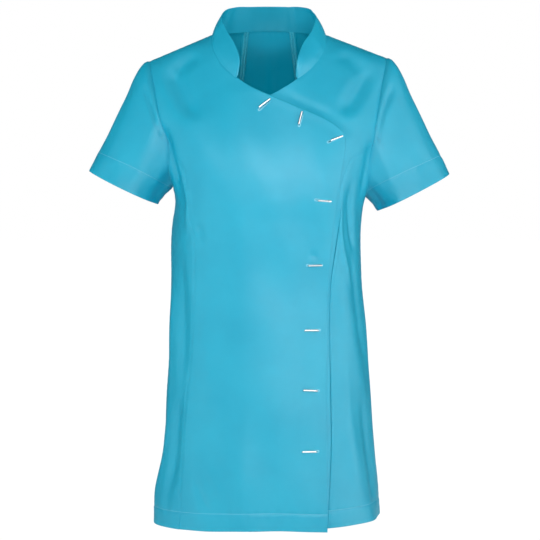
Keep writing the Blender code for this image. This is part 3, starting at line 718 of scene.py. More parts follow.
def hem_rise(distance, run, depth, phase):
    """A hem stands proud, sinks at its stitches and ripples between them."""
    uneven = phase + 1.9 * np.sin(run * 43 + phase)
    ripple = np.sin(run * 2 * math.pi / HEM_RIPPLE_PITCH + uneven)
    wave = np.sin(run * 2 * math.pi / HEM_WAVE_PITCH + phase * 2)
    sunk = -HEM_DIP * mound(distance, 0.0016, depth)
    proud = HEM_PROUD * (1 - smooth(distance, depth - 0.004, depth + 0.0015))
    rippled = HEM_RIPPLE * ripple * mound(distance, 0.009, depth)
    return sunk + proud + rippled + HEM_WAVE * wave * mound(distance, 0.016)


# ---- fine grids

def nearest(values, wanted):
    return int(np.argmin(np.abs(values - wanted)))


def in_space(surface, face):
    """Points in space of a panel that is given as angles on the form."""
    return lambda rows, columns: on_form(surface(rows, columns), face)


def steps_on(points_of, axis, limits, other, near=(), inset=(0, 0), hem=0, hem_rows=HEM_ROWS):
    """Steps of a surface along one axis, evenly spaced on the cloth and closer at its edges.

    near has a step and a way for each edge across this axis: 1 where the cloth lies after it.
    """
    trial = np.linspace(*limits, math.ceil((limits[1] - limits[0]) * PROBE) + 1)
    across = np.linspace(*other, 13)
    points = points_of(trial, across) if axis == 0 else points_of(across, trial)
    spans = np.linalg.norm(np.diff(points, axis=axis), axis=-1).mean(axis=1 - axis)
    lengths = np.concatenate(([0], np.cumsum(spans)))
    low, high = inset[0], lengths[-1] - inset[1]
    special = [low, high]
    for step, way in near:
        place = np.clip(np.interp(step, trial, lengths), low, high)
        special.extend(place + way * np.array((0,) + EDGE_STEPS))
    if hem:
        special.extend(high - hem + np.array(hem_rows))
    special = np.unique(np.round(np.clip(special, low, high), 7))
    made = [special[:1]]
    for start, end in zip(special, special[1:]):
        count = max(1, round((end - start) / GRID_STEP))
        made.append(np.linspace(start, end, count + 1)[1:])
    steps = np.interp(np.concatenate(made), lengths, trial)
    for step, _ in near:
        closest = nearest(steps, step)
        if abs(steps[closest] - step) < SAME_STEP:
            steps[closest] = step
    return steps


def away_from(line, points):
    """Distance of each point from a line, and how far along the line its nearest place is."""
    distance = np.ones(points.shape[:2])
    run = np.zeros(points.shape[:2])
    low = line.min(axis=0) - EDGE_REACH
    high = line.max(axis=0) + EDGE_REACH
    inside = np.all((points > low) & (points < high), axis=-1)
    chosen = points[inside]
    least = np.ones(len(chosen))
    place = np.zeros(len(chosen))
    done = 0.0
    for start, step in zip(line, np.diff(line, axis=0)):
        size = np.linalg.norm(step)
        gap = chosen - start
        share = np.clip(gap @ step / max(size, 1e-9) ** 2, 0, 1)
        off = np.linalg.norm(gap - share[:, None] * step, axis=1)
        nearer = off < least
        least[nearer] = off[nearer]
        place[nearer] = done + share[nearer] * size
        done += size
    distance[inside] = least
    run[inside] = place
    return distance, run


class Sheet:
    """A grid of cloth over the form, with its rises, rolled edges and turned-under strips."""

    def __init__(self, points, normals, weave):
        self.base = points
        self.normals = normals
        self.weave = weave
        self.rise = np.zeros(points.shape[:2])
        self.drop = np.zeros(points.shape[:2])
        self.unders = []
        self.seam_start = {}
        self.stitched = HEM_DEPTH

    def line(self, edge, start=0):
        """Points of an edge, from a column or row on."""
        if edge in ("top", "bottom"):
            return self.base[0 if edge == "top" else -1, start:]
        return self.base[start:, 0 if edge == "outer" else -1]

    def seam(self, line, phase, *unders):
        """Roll the cloth in at a seam, and press its turnings open along the named edges."""
        distance, run = away_from(line, self.base)
        self.drop = np.maximum(self.drop, roll(distance, SEAM_ROLL))
        self.rise += seam_rise(distance, run, phase)
        for edge, span in unders:
            self.unders.append((edge, span, distance, SEAM_TURNING, SEAM_ROLL))

    def hem(self, phase):
        """Stitch the turned-up bottom edge."""
        distance, run = away_from(self.line("bottom"), self.base)
        self.rise += hem_rise(distance, run, self.stitched, phase)

    def fold(self, line, *unders, radius=EDGE_ROLL):
        """Fold the cloth over a line, with strips of it turned under along the named edges."""
        distance, _ = away_from(line, self.base)
        self.drop = np.maximum(self.drop, roll(distance, radius))
        for edge, span, width in unders:
            self.unders.append((edge, span, distance, width, radius))

    def surface(self):
        return self.base + self.normals * (self.rise - self.drop)[..., None]

    def patches(self):
        """The main grid and a grid for each turned-under strip, with their places on the weave."""
        main = self.surface()
        made = [(main, self.weave)]
        for edge, span, distance, width, radius in self.unders:
            away = 2 * radius - 2 * roll(distance, radius)
            if width == SEAM_TURNING:
                away = away + CURL * np.clip(distance, 0, width)
            inside = main - away[..., None] * self.normals
            axis = 0 if edge in ("top", "bottom") else 1
            lines = run_from(self.base, axis, edge in ("bottom", "inner"))
            lines = np.take(lines, range(*span.indices(lines.shape[1 - axis])), 1 - axis)
            count = int(np.sum(lines.mean(axis=1 - axis) <= width)) + 1
            keep = slice(-count, None) if edge in ("bottom", "inner") else slice(0, count)
            cut = (keep, span) if axis == 0 else (span, keep)
            made.append((np.flip(inside[cut], axis), np.flip(self.weave[cut], axis)))
        return made

    def turning_path(self, edge, depth):
        """Points and normals along the inside of a seam's turning, at a distance from the seam."""
        path, normals = self.stitch_path(edge, depth)
        first = self.seam_start[edge]
        inside = path - normals * (2 * SEAM_ROLL + CURL * depth + TWILL / 2)
        return inside[first:], -normals[first:]

    def stitch_path(self, edge, depth):
        """Points and normals along a line of stitches at a distance from the hem or a side."""
        axis = 0 if edge == "bottom" else 1
        run = run_from(self.base, axis, edge in ("bottom", "inner"))
        grids = [run, self.surface(), self.normals]
        if axis == 0:
            grids = [np.swapaxes(grid, 0, 1) for grid in grids]
        path, normals = [], []
        for depth, run, row, facing in zip(np.broadcast_to(depth, len(grids[0])), *grids):
            order = np.argsort(run)
            path.append(read_off(run[order], row[order], depth))
            normals.append(read_off(run[order], facing[order], depth))
        return np.array(path), unit(np.array(normals))


def run_from(points, axis, last=False):
    """Distance of each point of a grid from its first or last row or column."""
    spans = np.linalg.norm(np.diff(points, axis=axis), axis=-1)
    if last:
        spans = np.flip(spans, axis)
    run = np.concatenate((np.zeros_like(np.take(spans, [0], axis)), np.cumsum(spans, axis)), axis)
    return np.flip(run, axis) if last else run


def worn(angles, face, lifted=False):
    """Points and normals of the body's cloth with its folds, or of the overlap that lies on it."""
    points = on_form(angles, face)
    normals = outward(angles, face)
    rise = relief(angles, face)
    if lifted:
        rise = rise + overlap_lift(points)
    return points + normals * rise[..., None], normals


def body_sheet(surface, face, rows, columns, lifted=False):
    """A sheet of the body between its seams, folds of the worn cloth included."""
    angles = surface(rows, columns)
    return Sheet(*worn(angles, face, lifted), angles * (BODY_RADIUS, DROP_SCALE))


# ---- materials

def srgb(code):
    """Linear colour from an sRGB hex code."""
    parts = [int(code[place:place + 2], 16) / 255 for place in (1, 3, 5)]
    return [part / 12.92 if part <= 0.04045 else ((part + 0.055) / 1.055) ** 2.4 for part in parts] + [1]


def node(tree, kind, inputs=None, **settings):
    """Add a node; inputs that are sockets are linked, and all others are set."""
    made = tree.nodes.new("ShaderNode" + kind)
    for name, value in settings.items():
        setattr(made, name, value)
    for name, value in (inputs or {}).items():
        if isinstance(value, bpy.types.NodeSocket):
            tree.links.new(value, made.inputs[name])
        else:
            made.inputs[name].default_value = value
    return made


def new_material(name):
    material = bpy.data.materials.new(name)
    material.use_nodes = True
    material.node_tree.nodes.clear()
    return material, material.node_tree


def finish_material(material, shader):
    node(material.node_tree, "OutputMaterial", {"Surface": shader.outputs[0]})
    return material


def dyed_twill():
    """Polyester-cotton twill, piece-dyed and pressed: matt, with a faint steep diagonal rib."""
    material, tree = new_material("dyed_polyester_cotton_twill")
    cloth = node(tree, "UVMap", uv_map="weave")
    place = node(tree, "TexCoord")
    # the real rib is 0.45 mm wide and would not show, so it is drawn at twice that
    rib = node(
        tree, "TexWave",
        {"Vector": cloth.outputs["UV"], "Scale": 494.0, "Distortion": 0.6, "Detail": 1.0},
        bands_direction="DIAGONAL",
    )
    # slubs: thicker stretches of yarn, some 12 mm long and 1 mm wide
    yarn = node(tree, "Mapping", {"Vector": cloth.outputs["UV"], "Scale": (1000.0, 85.0, 1.0)})
    slub = node(tree, "TexNoise", {"Vector": yarn.outputs[0], "Scale": 1.0, "Detail": 2.0})
    # dye takes a little unevenly over patches of about 60 mm
    cloud = node(
        tree, "TexNoise",
        {"Vector": place.outputs["Object"], "Scale": 16.0, "Detail": 3.0, "Roughness": 0.55},
    )
    uneven = node(tree, "MapRange", {"Value": cloud.outputs[0], "From Min": 0.3, "From Max": 0.7})
    dye = node(
        tree, "Mix",
        {"Factor": uneven.outputs[0], "A": srgb(TURQUOISE_DEEP), "B": srgb(TURQUOISE)},
        data_type="RGBA",
    )
    shade = node(tree, "MapRange", {"Value": rib.outputs["Fac"], "To Max": 0.1})
    colour = node(
        tree, "Mix",
        {"Factor": shade.outputs[0], "A": dye.outputs["Result"], "B": srgb(TURQUOISE_SHADE)},
        data_type="RGBA",
    )
    height = node(tree, "Math", {0: rib.outputs["Fac"], 1: slub.outputs[0]}, operation="ADD")
    bump = node(tree, "Bump", {"Height": height.outputs[0], "Distance": 0.00012, "Strength": 0.6})
    rough = node(
        tree, "MapRange",
        {"Value": slub.outputs[0], "From Min": 0.2, "From Max": 0.8, "To Min": 0.39, "To Max": 0.47},
    )
    shader = node(tree, "BsdfPrincipled", {
        "Base Color": colour.outputs["Result"], "Roughness": rough.outputs[0], "IOR": 1.6,
        "Normal": bump.outputs[0],
    })
    return finish_material(material, shader)


def sewing_thread(name, colour):
    """Spun polyester sewing thread: two twisted plies with a soft gloss."""
    material, tree = new_material(name)
    place = node(tree, "TexCoord")
    # real plies cross the thread every 0.6 mm; they are drawn at twice that, so that they show
    ply = node(
        tree, "TexWave", {"Vector": place.outputs["Object"], "Scale": 520.0, "Distortion": 1.0},
        bands_direction="DIAGONAL",
    )
    tone = node(
        tree, "Mix", {"Factor": ply.outputs["Fac"], "A": srgb(TURQUOISE), "B": srgb(colour)},
        data_type="RGBA",
    )
    lighter = node(
        tree, "Mix", {"Factor": 0.7, "A": tone.outputs["Result"], "B": srgb(colour)},
        data_type="RGBA",
    )
    bump = node(tree, "Bump", {"Height": ply.outputs["Fac"], "Distance": 0.0001, "Strength": 0.5})
    shader = node(tree, "BsdfPrincipled", {
        "Base Color": lighter.outputs["Result"], "Roughness": 0.45, "IOR": 1.53,
        "Normal": bump.outputs[0],
    })
    return finish_material(material, shader)


def polished_steel():
    """Stainless steel rod, tumbled and buffed: bright, with the faintest drawn lines along it."""
    material, tree = new_material("polished_stainless_steel")
    place = node(tree, "TexCoord")
    # buffing marks are a few hundredths of a millimetre apart; drawn at 0.3 mm, so that they show
    drawn = node(
        tree, "Mapping", {"Vector": place.outputs["Object"], "Scale": (300.0, 3300.0, 3300.0)},
    )
    marks = node(tree, "TexNoise", {"Vector": drawn.outputs[0], "Scale": 1.0, "Detail": 2.0})
    rough = node(
        tree, "MapRange",
        {"Value": marks.outputs[0], "From Min": 0.3, "From Max": 0.7, "To Min": 0.1, "To Max": 0.2},
    )
    tint = node(
        tree, "Mix", {"Factor": marks.outputs[0], "A": srgb(STEEL), "B": srgb(STEEL_BRIGHT)},
        data_type="RGBA",
    )
    bump = node(tree, "Bump", {"Height": marks.outputs[0], "Distance": 0.00002, "Strength": 0.3})
    shader = node(tree, "BsdfPrincipled", {
        "Base Color": tint.outputs["Result"], "Metallic": 1.0, "Roughness": rough.outputs[0],
        "Normal": bump.outputs[0],
    })
    return finish_material(material, shader)


def pale_floor():
    """Matt white painted board, lit from all round so that it runs into the pale surroundings."""
    material, tree = new_material("matt_white_painted_board")
    place = node(tree, "TexCoord")
    grain = node(tree, "TexNoise", {"Vector": place.outputs["Object"], "Scale": 3.0, "Detail": 3.0})
    paint = node(
        tree, "Mix", {"Factor": grain.outputs[0], "A": srgb(PAPER_WHITE), "B": srgb(WHITE)},
        data_type="RGBA",
    )
    shader = node(tree, "BsdfPrincipled", {"Base Color": paint.outputs["Result"], "Roughness": 0.9})
    # seen directly it is as white as the surroundings; the light that it throws back is weaker
    rays = node(tree, "LightPath")
    glow = node(tree, "Emission", {"Color": paint.outputs["Result"], "Strength": 1.08})
    both = node(
        tree, "MixShader",
        {0: rays.outputs["Is Camera Ray"], 1: shader.outputs[0], 2: glow.outputs[0]},
    )
    return finish_material(material, both)


# ---- making the pieces

def add_piece(name, mesh, material):
    mesh.materials.append(material)
    piece = bpy.data.objects.new(name, mesh)
    bpy.context.scene.collection.objects.link(piece)
    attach(piece, "root")
    return piece


def grids_mesh(name, patches, closed=False):
    """Join grids of points into one mesh, welded where they meet, with the weave's places."""
    corners, places, faces, count = [], [], [], 0
    for patch, place in patches:
        rows, columns = patch.shape[:2]
        number = count + np.arange(rows * columns).reshape(rows, columns)
        if closed:
            number = np.concatenate((number, number[:, :1]), axis=1)
        square = (number[:-1, :-1], number[1:, :-1], number[1:, 1:], number[:-1, 1:])
        faces.append(np.stack(square, axis=-1).reshape(-1, 4))
        corners.append(patch.reshape(-1, 3))
        places.append(place.reshape(-1, 2))
        count += rows * columns
    corners = np.concatenate(corners)
    places = np.concatenate(places)
    rounded = np.round(corners / WELD).astype(np.int64)
    _, first, same = np.unique(rounded, axis=0, return_index=True, return_inverse=True)
    faces = same.reshape(-1)[np.concatenate(faces)]
    whole = [len(set(face)) == 4 for face in faces.tolist()]
    mesh = bpy.data.meshes.new(name)
    mesh.from_pydata(corners[first].tolist(), [], faces[whole].tolist())
    layer = mesh.uv_layers.new(name="weave")
    corner_of_loop = np.zeros(len(mesh.loops), np.int32)
    mesh.loops.foreach_get("vertex_index", corner_of_loop)
    layer.data.foreach_set("uv", places[first][corner_of_loop].astype(np.float32).ravel())
    mesh.validate()
    mesh.shade_smooth()
    return mesh


def sink_beside(sheet, line):
    """Let the cloth under the overlap's edge sink beside it, most of all along the slant."""
    distance, _ = away_from(line, sheet.base)
    height = sheet.base[..., 2]
    depth = UNDER_SLANT * smooth(height, -0.172, -0.15) + UNDER_DOWN * smooth(-height, 0.25, 0.33)
    sheet.rise -= depth * mound(distance, 0.008, UNDER_GAP)


def cloth_piece(panel, sheets, flat, area, rests_on):
    """A shell of twill for a panel's solid, which is hidden."""
    patches = [patch for sheet in sheets for patch in sheet.patches()]
    piece = add_piece(panel + "_twill", grids_mesh(panel + "_twill", patches), twill)
    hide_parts(panel)
    wall = piece.modifiers.new("Thickness", "SOLIDIFY")
    wall.thickness = TWILL
    wall.offset = 0
    return piece


def make_front(side, slant, down, slant_steps, hem, lifted):
    """Sheets of one front: the strip beside the neck, and the rest of it."""
    across = NECK_END + slant_steps
    bottom = PRINCESS_STEP + BODY_STEPS
    rest = partial(front_rest, side, slant, down, slant_steps, hem)
    strip = partial(front_strip, side)
    columns = steps_on(
        in_space(rest, FRONT), 1, (0, across), (NECK_SIDE_STEPS, bottom),
        near=((0, 1), (SHOULDER_STEPS, -1), (NECK_END, 1), (across, -1)), inset=(SEAM_IN, 0),
    )
    rows = steps_on(
        in_space(rest, FRONT), 0, (NECK_SIDE_STEPS, bottom), (0, across),
        near=((NECK_SIDE_STEPS, 1), (bottom, -1)), hem=HEM_DEPTH,
    )
    strip_rows = steps_on(
        in_space(strip, FRONT), 0, (0, NECK_SIDE_STEPS), (0, SHOULDER_STEPS),
        near=((0, 1), (NECK_SIDE_STEPS, -1)), inset=(SEAM_IN, 0),
    )
    first = nearest(columns, SHOULDER_STEPS)
    turn = nearest(columns, NECK_END)
    upper = body_sheet(strip, FRONT, strip_rows, columns[:first + 1], lifted)
    lower = body_sheet(rest, FRONT, rows, columns, lifted)
    outer = np.concatenate((upper.line("outer"), lower.line("outer", 1)))
    neck = np.concatenate((upper.line("inner"), lower.line("top", first + 1)[:turn - first]))
    free = np.concatenate((
        lower.line("top", turn), lower.line("inner", 1), lower.line("bottom")[-2::-1],
    ))
    lower.seam(outer, side.sign, ("outer", slice(None)))
    upper.seam(outer, side.sign)
    upper.seam(upper.line("top"), 2.0)
    upper.seam(neck, 1.0)
    lower.seam(neck, 1.0)
    lower.hem(1.5)
    radius = EDGE_ROLL
    if lifted:
        place = lower.base
        soft = smooth(place[..., 2], -0.18, -0.15) * smooth(place[..., 0], -0.046, -0.015)
        radius = EDGE_ROLL + (SLANT_ROLL - EDGE_ROLL) * soft
        distance, _ = away_from(free, place)
        lower.rise += SLANT_LIFT * soft * mound(distance, 0.009)
    lower.fold(
        free, ("top", slice(turn, None), EDGE_TURNING), ("inner", slice(None), EDGE_TURNING),
        ("bottom", slice(None), HEM_DEPTH + HEM_SPARE), radius=radius,
    )
    lower.neck_end = turn
    return upper, lower


def make_panel(surface, face, rows_end, columns_end, hem_phase, outer_start=0):
    """A sheet between a top edge, two seams (the outer one from a row on) and the hem."""
    rows = steps_on(
        in_space(surface, face), 0, (0, rows_end), (0, columns_end),
        near=((0, 1), (rows_end, -1)), inset=(SEAM_IN, 0), hem=HEM_DEPTH,
    )
    columns = steps_on(
        in_space(surface, face), 1, (0, columns_end), (0, rows_end),
        near=((0, 1), (columns_end, -1)), inset=(SEAM_IN, SEAM_IN),
    )
    sheet = body_sheet(surface, face, rows, columns)
    for number, (edge, first_row) in enumerate((("outer", outer_start), ("inner", 0))):
        start = nearest(rows, first_row)
        # front and back meet at depth 0, whatever the rise of the cloth there
        depth = sheet.line(edge, start)[:, 1]
        at_side = np.abs(depth) < SIDE_DEPTH
        depth[at_side] = np.clip(depth[at_side], -SEAM_IN, SEAM_IN)
        sheet.seam_start[edge] = start
        sheet.seam(sheet.line(edge), hem_phase + number, (edge, slice(start, None)))
    sheet.seam(sheet.line("top"), hem_phase + 3)
    sheet.hem(hem_phase)
    sheet.fold(sheet.line("bottom"), ("bottom", slice(None), HEM_DEPTH + HEM_SPARE))
    return sheet


def sleeve_points(side, shares, steps):
    """Points of a sleeve from the armhole (0) to the cuff (1)."""
    turn = np.asarray(steps) * LOOP_STEP
    x, z = loop_points(side, np.abs(steps))
    on_front, on_back = (worn(to_form(x, z, face), face)[0] for face in (FRONT, BACK))
    start = np.where(np.asarray(steps)[:, None] > 0, on_front, on_back)
    cosine = np.cos(turn)[:, None]
    sine = np.sin(turn)[:, None]
    lean = math.radians(side.cuff_lean)
    across = np.array((side.sign * math.cos(lean), 0, math.sin(lean)))
    forward = np.array((0, -1, -CUFF_DIP))
    middle = np.array((side.sign * side.cuff_x, 0, side.cuff_z))
    end = middle + side.cuff_half * cosine * across + CUFF_DEPTH * sine * forward
    reach = np.linalg.norm(end - start, axis=1, keepdims=True)
    out, ahead, down = SLEEVE_LEAVES
    leave = unit(np.concatenate(
        (np.full_like(sine, side.sign * out), -ahead * sine, np.full_like(sine, -down)), axis=1
    ))
    start = start + SLEEVE_CLEARANCE * leave
    arrive = np.array((side.sign * math.sin(lean), 0, -math.cos(lean)))
    t = np.asarray(shares)[:, None, None]
    ring = start * (2 * t**3 - 3 * t**2 + 1) + end * (3 * t**2 - 2 * t**3)
    ring = ring + reach * SLEEVE_PULL * leave * (t**3 - 2 * t**2 + t)
    return ring + reach * arrive * (t**3 - t**2)


def grid_normals(points, outside):
    """Unit normals of a grid, turned towards the given outside directions."""
    normals = np.cross(np.gradient(points, axis=0), np.gradient(points, axis=1))
    facing = np.sign(np.sum(normals * outside, axis=-1, keepdims=True))
    return unit(normals * facing)


def make_sleeve(side):
    """A sleeve with fullness at its head, folds at the underarm and a turned-up cuff."""
    points_of = partial(sleeve_points, side)
    shares = steps_on(
        points_of, 0, (0, 1), (-UNDERARM_STEP, UNDERARM_STEP), near=((0, 1), (1, -1)),
        hem=CUFF_HEM[side.name][1], hem_rows=CUFF_ROWS,
    )
    steps = steps_on(
        points_of, 1, (-UNDERARM_STEP, UNDERARM_STEP), (0, 1),
        near=((-UNDERARM_STEP, 1), (UNDERARM_STEP, -1)), inset=(SEAM_IN, SEAM_IN),
    )
    points = points_of(shares, steps)
    normals = grid_normals(points, points - points.mean(axis=1, keepdims=True))
    turn = np.degrees(steps * LOOP_STEP)[None, :]
    run = (shares * SLEEVE_LENGTH)[:, None]
    folds = SLEEVE_FOLDS + UNDERARM_FOLDS[side.name]
    rise = fold_rise(turn, run, folds, SLEEVE_RADIUS) * smooth(run, 0.0, 0.006)
    head = smooth(run, 0, 0.012) * (1 - smooth(run, 0.02, 0.065))
    rise = rise + SLEEVE_HEAD * head * np.clip(np.cos(np.radians(turn)), 0, 1)
    weave = np.stack(np.broadcast_arrays(np.radians(turn) * SLEEVE_RADIUS, run), axis=-1)
    sheet = Sheet(points + normals * rise[..., None], normals, weave)
    sheet.seam(sheet.line("top"), 0.5)
    for edge in ("outer", "inner"):
        sheet.seam(sheet.line(edge), 2.5, (edge, slice(None)))
    sheet.stitched = np.interp(np.abs(turn[0]), (0, 90, 180), CUFF_HEM[side.name])
    sheet.hem(0.7 * side.sign)
    sheet.fold(sheet.line("bottom"), ("bottom", slice(None), max(CUFF_HEM[side.name]) + HEM_SPARE))
    return sheet


def collar_points(shares, stations):
    """Middle of the collar's band at shares of its height, over stations of the neck seam."""
    reach = np.abs(stations)
    steps = np.clip((reach - 0.5) * 2 * NECK_STEPS, 0, NECK_STEPS)
    right = on_form(front_neck(RIGHT, steps), FRONT)
    left = on_form(front_neck(LEFT, steps), FRONT)
    back = on_form(back_neck(np.clip(stations, -0.5, 0.5)), BACK)
    seam = np.where((stations < 0)[:, None], right, left)
    seam = np.where((reach < 0.5)[:, None], back, seam)
    x = np.where(stations < 0, -COLLAR_EDGE["right_x"](reach), COLLAR_EDGE["left_x"](reach))
    edge = np.stack((x, COLLAR_EDGE["y"](reach), COLLAR_EDGE["z"](reach)), axis=-1)
    start = seam - COLLAR_TUCK * unit(edge - seam)
    share = np.asarray(shares)[:, None, None]
    points = start + (edge - start) * share
    return points + unit(points * (1, 1, 0)) * COLLAR_BELLY * np.sin(math.pi * share)


def make_collar():
    """The stand collar: an outer and an inner layer joined all round."""
    stations = steps_on(collar_points, 1, (-1, 1), (0, 1), near=((-1, 1), (1, -1)))
    shares = steps_on(collar_points, 0, (0, 1), (-0.8, 0.8), near=((0, 1), (1, -1)))
    middle = collar_points(shares, stations)
    normals = grid_normals(middle, middle * (1, 1, 0))
    border = np.concatenate((
        middle[0], middle[1:, -1], middle[-1, -2::-1], middle[-2:0:-1, 0], middle[:1, 0],
    ))
    distance, _ = away_from(border, middle)
    round_neck = run_from(middle, 1)
    height = run_from(middle, 0)
    crease = np.zeros(middle.shape[:2])
    for place, width, rise in COLLAR_CREASES:
        crease += rise * mound(stations[None, :], width, place) * smooth(height, 0, 0.012)
    stitched = -COLLAR_DIP * mound(distance, 0.0011, COLLAR_STITCHED)
    ripple = COLLAR_RIPPLE * np.sin(round_neck * 2 * math.pi / 0.019) * mound(height, 0.01)
    swell = COLLAR_SWELL * np.sin(round_neck * 2 * math.pi / 0.11 + 1.0) * smooth(height, 0, 0.02)
    middle = middle + normals * (crease + swell)[..., None]
    half = (COLLAR_HALF - roll(distance, COLLAR_HALF) + stitched + ripple)[..., None]
    half = half * (distance > 0)[..., None]
    weave = np.stack((round_neck, height), axis=-1)
    return [(middle + normals * half, weave), ((middle - normals * half)[::-1], weave[::-1])]


# ---- stitches, buttonholes, bars

def on_overlap(x, z):
    """Points and normals of the overlapping front at places seen from the front."""
    return worn(to_form(x, z, FRONT), FRONT, lifted=True)


def stitch_mesh(name, paths, pitch, length, width, lift, crosswise=False):
    """Stitches along paths of points and normals: short rounded lengths of thread."""
    count = 4 if crosswise else 6
    shape = STITCH_SHAPE[::2] if crosswise else STITCH_SHAPE
    ring = np.arange(count) * 2 * math.pi / count
    template = np.array([
        (at, size * math.cos(turn), size * math.sin(turn) + bow)
        for at, size, bow in shape for turn in ring
    ])
    last = len(template) - count
    sides = []
    for low in range(0, last, count):
        for place in range(count):
            beside = (place + 1) % count
            sides.append((low + place, low + beside, low + count + beside, low + count + place))
    sides.append(tuple(range(count - 1, -1, -1)))
    sides.append(tuple(range(last, last + count)))
    corners, faces = [], []
    for path, normals in paths:
        run = running_length(path)
        at = np.arange(pitch / 2, run[-1], pitch)
        centre = read_off(run, path, at)
        ahead = read_off(run, path, at + length / 3)
        along_it = unit(ahead - read_off(run, path, at - length / 3))
        up = unit(read_off(run, normals, at))
        across = unit(np.cross(up, along_it))
        if crosswise:
            lean = OVERLOCK_LEAN
            along_it, across = unit(across + lean * along_it), unit(along_it - lean * across)
        for spot, way, side, rise in zip(centre, along_it, across, up):
            first = len(corners) * len(template)
            body = spot + rise * lift + template[:, :1] * length * way
            body = body + template[:, 1:2] * width / 2 * side + template[:, 2:] * width / 2 * rise
            corners.append(body)
            faces.extend([tuple(first + corner for corner in face) for face in sides])
    mesh = bpy.data.meshes.new(name)
    mesh.from_pydata(np.concatenate(corners).tolist(), [], faces)
    mesh.shade_smooth()
    return mesh


def bar_place(row):
    """Place of a bar as its solid has it: X along the bar, Z out of the cloth."""
    x, z, slope = row
    angles = to_form(x, z, FRONT)
    out = Vector(outward(angles, FRONT))
    slope = math.radians(slope)
    along_bar = Vector((math.cos(slope), 0, math.sin(slope)))
    along_bar = (along_bar - out * along_bar.dot(out)).normalized()
    turned = Matrix((along_bar, out.cross(along_bar), out)).transposed()
    return Matrix.Translation(Vector(on_form(angles, FRONT))) @ turned.to_4x4()


def hole_place(row, shift):
    """Middle and direction of a buttonhole, seen from the front."""
    x, z, slope = row
    slope = math.radians(slope)
    way = np.array((math.cos(slope), math.sin(slope)))
    side = np.array((-way[1], way[0]))
    return np.array((x, z)) + way * shift[0] + side * shift[1], way, side


def open_buttonhole(shape, row, shift):
    """Cut a slit through each layer of the cloth."""
    centre, way, side = hole_place(row, shift)
    middle = Vector(on_overlap(*centre)[0])
    reach = HOLE_LENGTH / 2 + 0.006
    near = [face for face in shape.faces if (face.calc_center_median() - middle).length < reach]
    for line, half in ((way, HOLE_LENGTH / 2), (side, HOLE_WIDTH / 2)):
        direction = Vector((line[0], 0, line[1]))
        for sign in (-1, 1):
            parts = dict.fromkeys(near)
            for face in near:
                parts.update(dict.fromkeys((*face.edges, *face.verts)))
            cut = bmesh.ops.bisect_plane(
                shape, geom=list(parts), dist=0.00008,
                plane_co=middle + direction * half * sign, plane_no=direction,
            )
            near = [part for part in cut["geom"] if isinstance(part, bmesh.types.BMFace)]
    gone = []
    for face in near:
        gap = face.calc_center_median() - middle
        along_it = abs(gap.x * way[0] + gap.z * way[1])
        off = abs(gap.x * side[0] + gap.z * side[1])
        if along_it < HOLE_LENGTH / 2 and off < HOLE_WIDTH / 2:
            gone.append(face)
    bmesh.ops.delete(shape, geom=gone, context="FACES")


def buttonhole_ring(row, shift):
    """Worked edge of a buttonhole: a ring of close stitches over both lips."""
    centre, way, side = hole_place(row, shift)
    half = HOLE_LENGTH / 2
    lip = np.arange(-half, half, HOLE_PITCH / 4)
    bend = np.linspace(-math.pi / 2, math.pi / 2, 17)[1:-1]
    middle, end = np.zeros(len(lip)), np.full(len(bend), half)
    off = HOLE_WIDTH / 2 + 0.0003
    out_along = np.concatenate((middle, np.cos(bend), middle, -np.cos(bend)))
    out_across = np.concatenate((middle - 1, np.sin(bend), middle + 1, -np.sin(bend)))
    along_it = np.concatenate((lip, end, -lip, -end)) + off * out_along
    flat = centre + along_it[:, None] * way + off * out_across[:, None] * side
    spread_out = out_along[:, None] * way + out_across[:, None] * side
    path, normals = on_overlap(flat[:, 0], flat[:, 1])
    outwards = np.stack((spread_out[:, 0], np.zeros(len(path)), spread_out[:, 1]), axis=-1)
    outwards = unit(outwards - normals * np.sum(outwards * normals, axis=1, keepdims=True))
    rib = 1 + 0.22 * np.cos(np.arange(len(path)) * math.pi / 2)[:, None]
    rings = []
    for turn in np.arange(8) * math.pi / 4:
        reach = HOLE_STITCH / 2 * (math.cos(turn) + 0.75) * rib
        rings.append(path + outwards * reach + normals * (0.0002 + 0.00042 * math.sin(turn) * rib))
    return np.stack(rings, axis=1)


def bar_rod(place):
    """Points of a bar: a round rod, its ends cut on the slant and their rims eased."""
    half = BAR_LENGTH / 2
    radius = BAR_DIAMETER / 2
    turns = np.arange(28) * 2 * math.pi / 28
    profile = [(-1, gap, size) for gap, size in BAR_RIM]
    profile += [(1, gap, size) for gap, size in BAR_RIM[::-1]]
    rings = []
    for end, gap, size in profile:
        slant = BAR_SLANT * (1 - gap / BAR_RIM[-1][0])
        x = end * (half - gap) - end * slant * radius * (size * np.cos(turns) + 1)
        ring = np.stack((x, radius * size * np.cos(turns), radius * size * np.sin(turns)), axis=-1)
        rings.append([tuple(place @ Vector(point)) for point in ring])
    return np.array(rings)


def shank_points(place):
    """Points of a shank of thread, wound round and round between the cloth and a bar."""
    turns = np.arange(12) * math.pi / 6
    rings = []
    for share in np.arange(19) / 18:
        wound = 0.5 + 0.5 * np.sin(2 * math.pi * share * 6 + turns)
        radius = SHANK_RADIUS * (0.86 + 0.14 * wound)
        height = SHANK_FOOT + (SHANK_HEAD - SHANK_FOOT) * share
        ring = np.stack((radius * np.cos(turns), radius * np.sin(turns), np.full(12, height)), axis=-1)
        rings.append([tuple(place @ Vector(point)) for point in ring])
    return np.array(rings)


# ---- the tunic

twill = dyed_twill()
hem_thread = sewing_thread("spun_polyester_thread", THREAD_LIGHT)
hole_thread = sewing_thread("buttonhole_twist", BUTTONHOLE_LIGHT)
overlock_thread = sewing_thread("textured_polyester_overlock_thread", OVERLOCK_LIGHT)
steel = polished_steel()

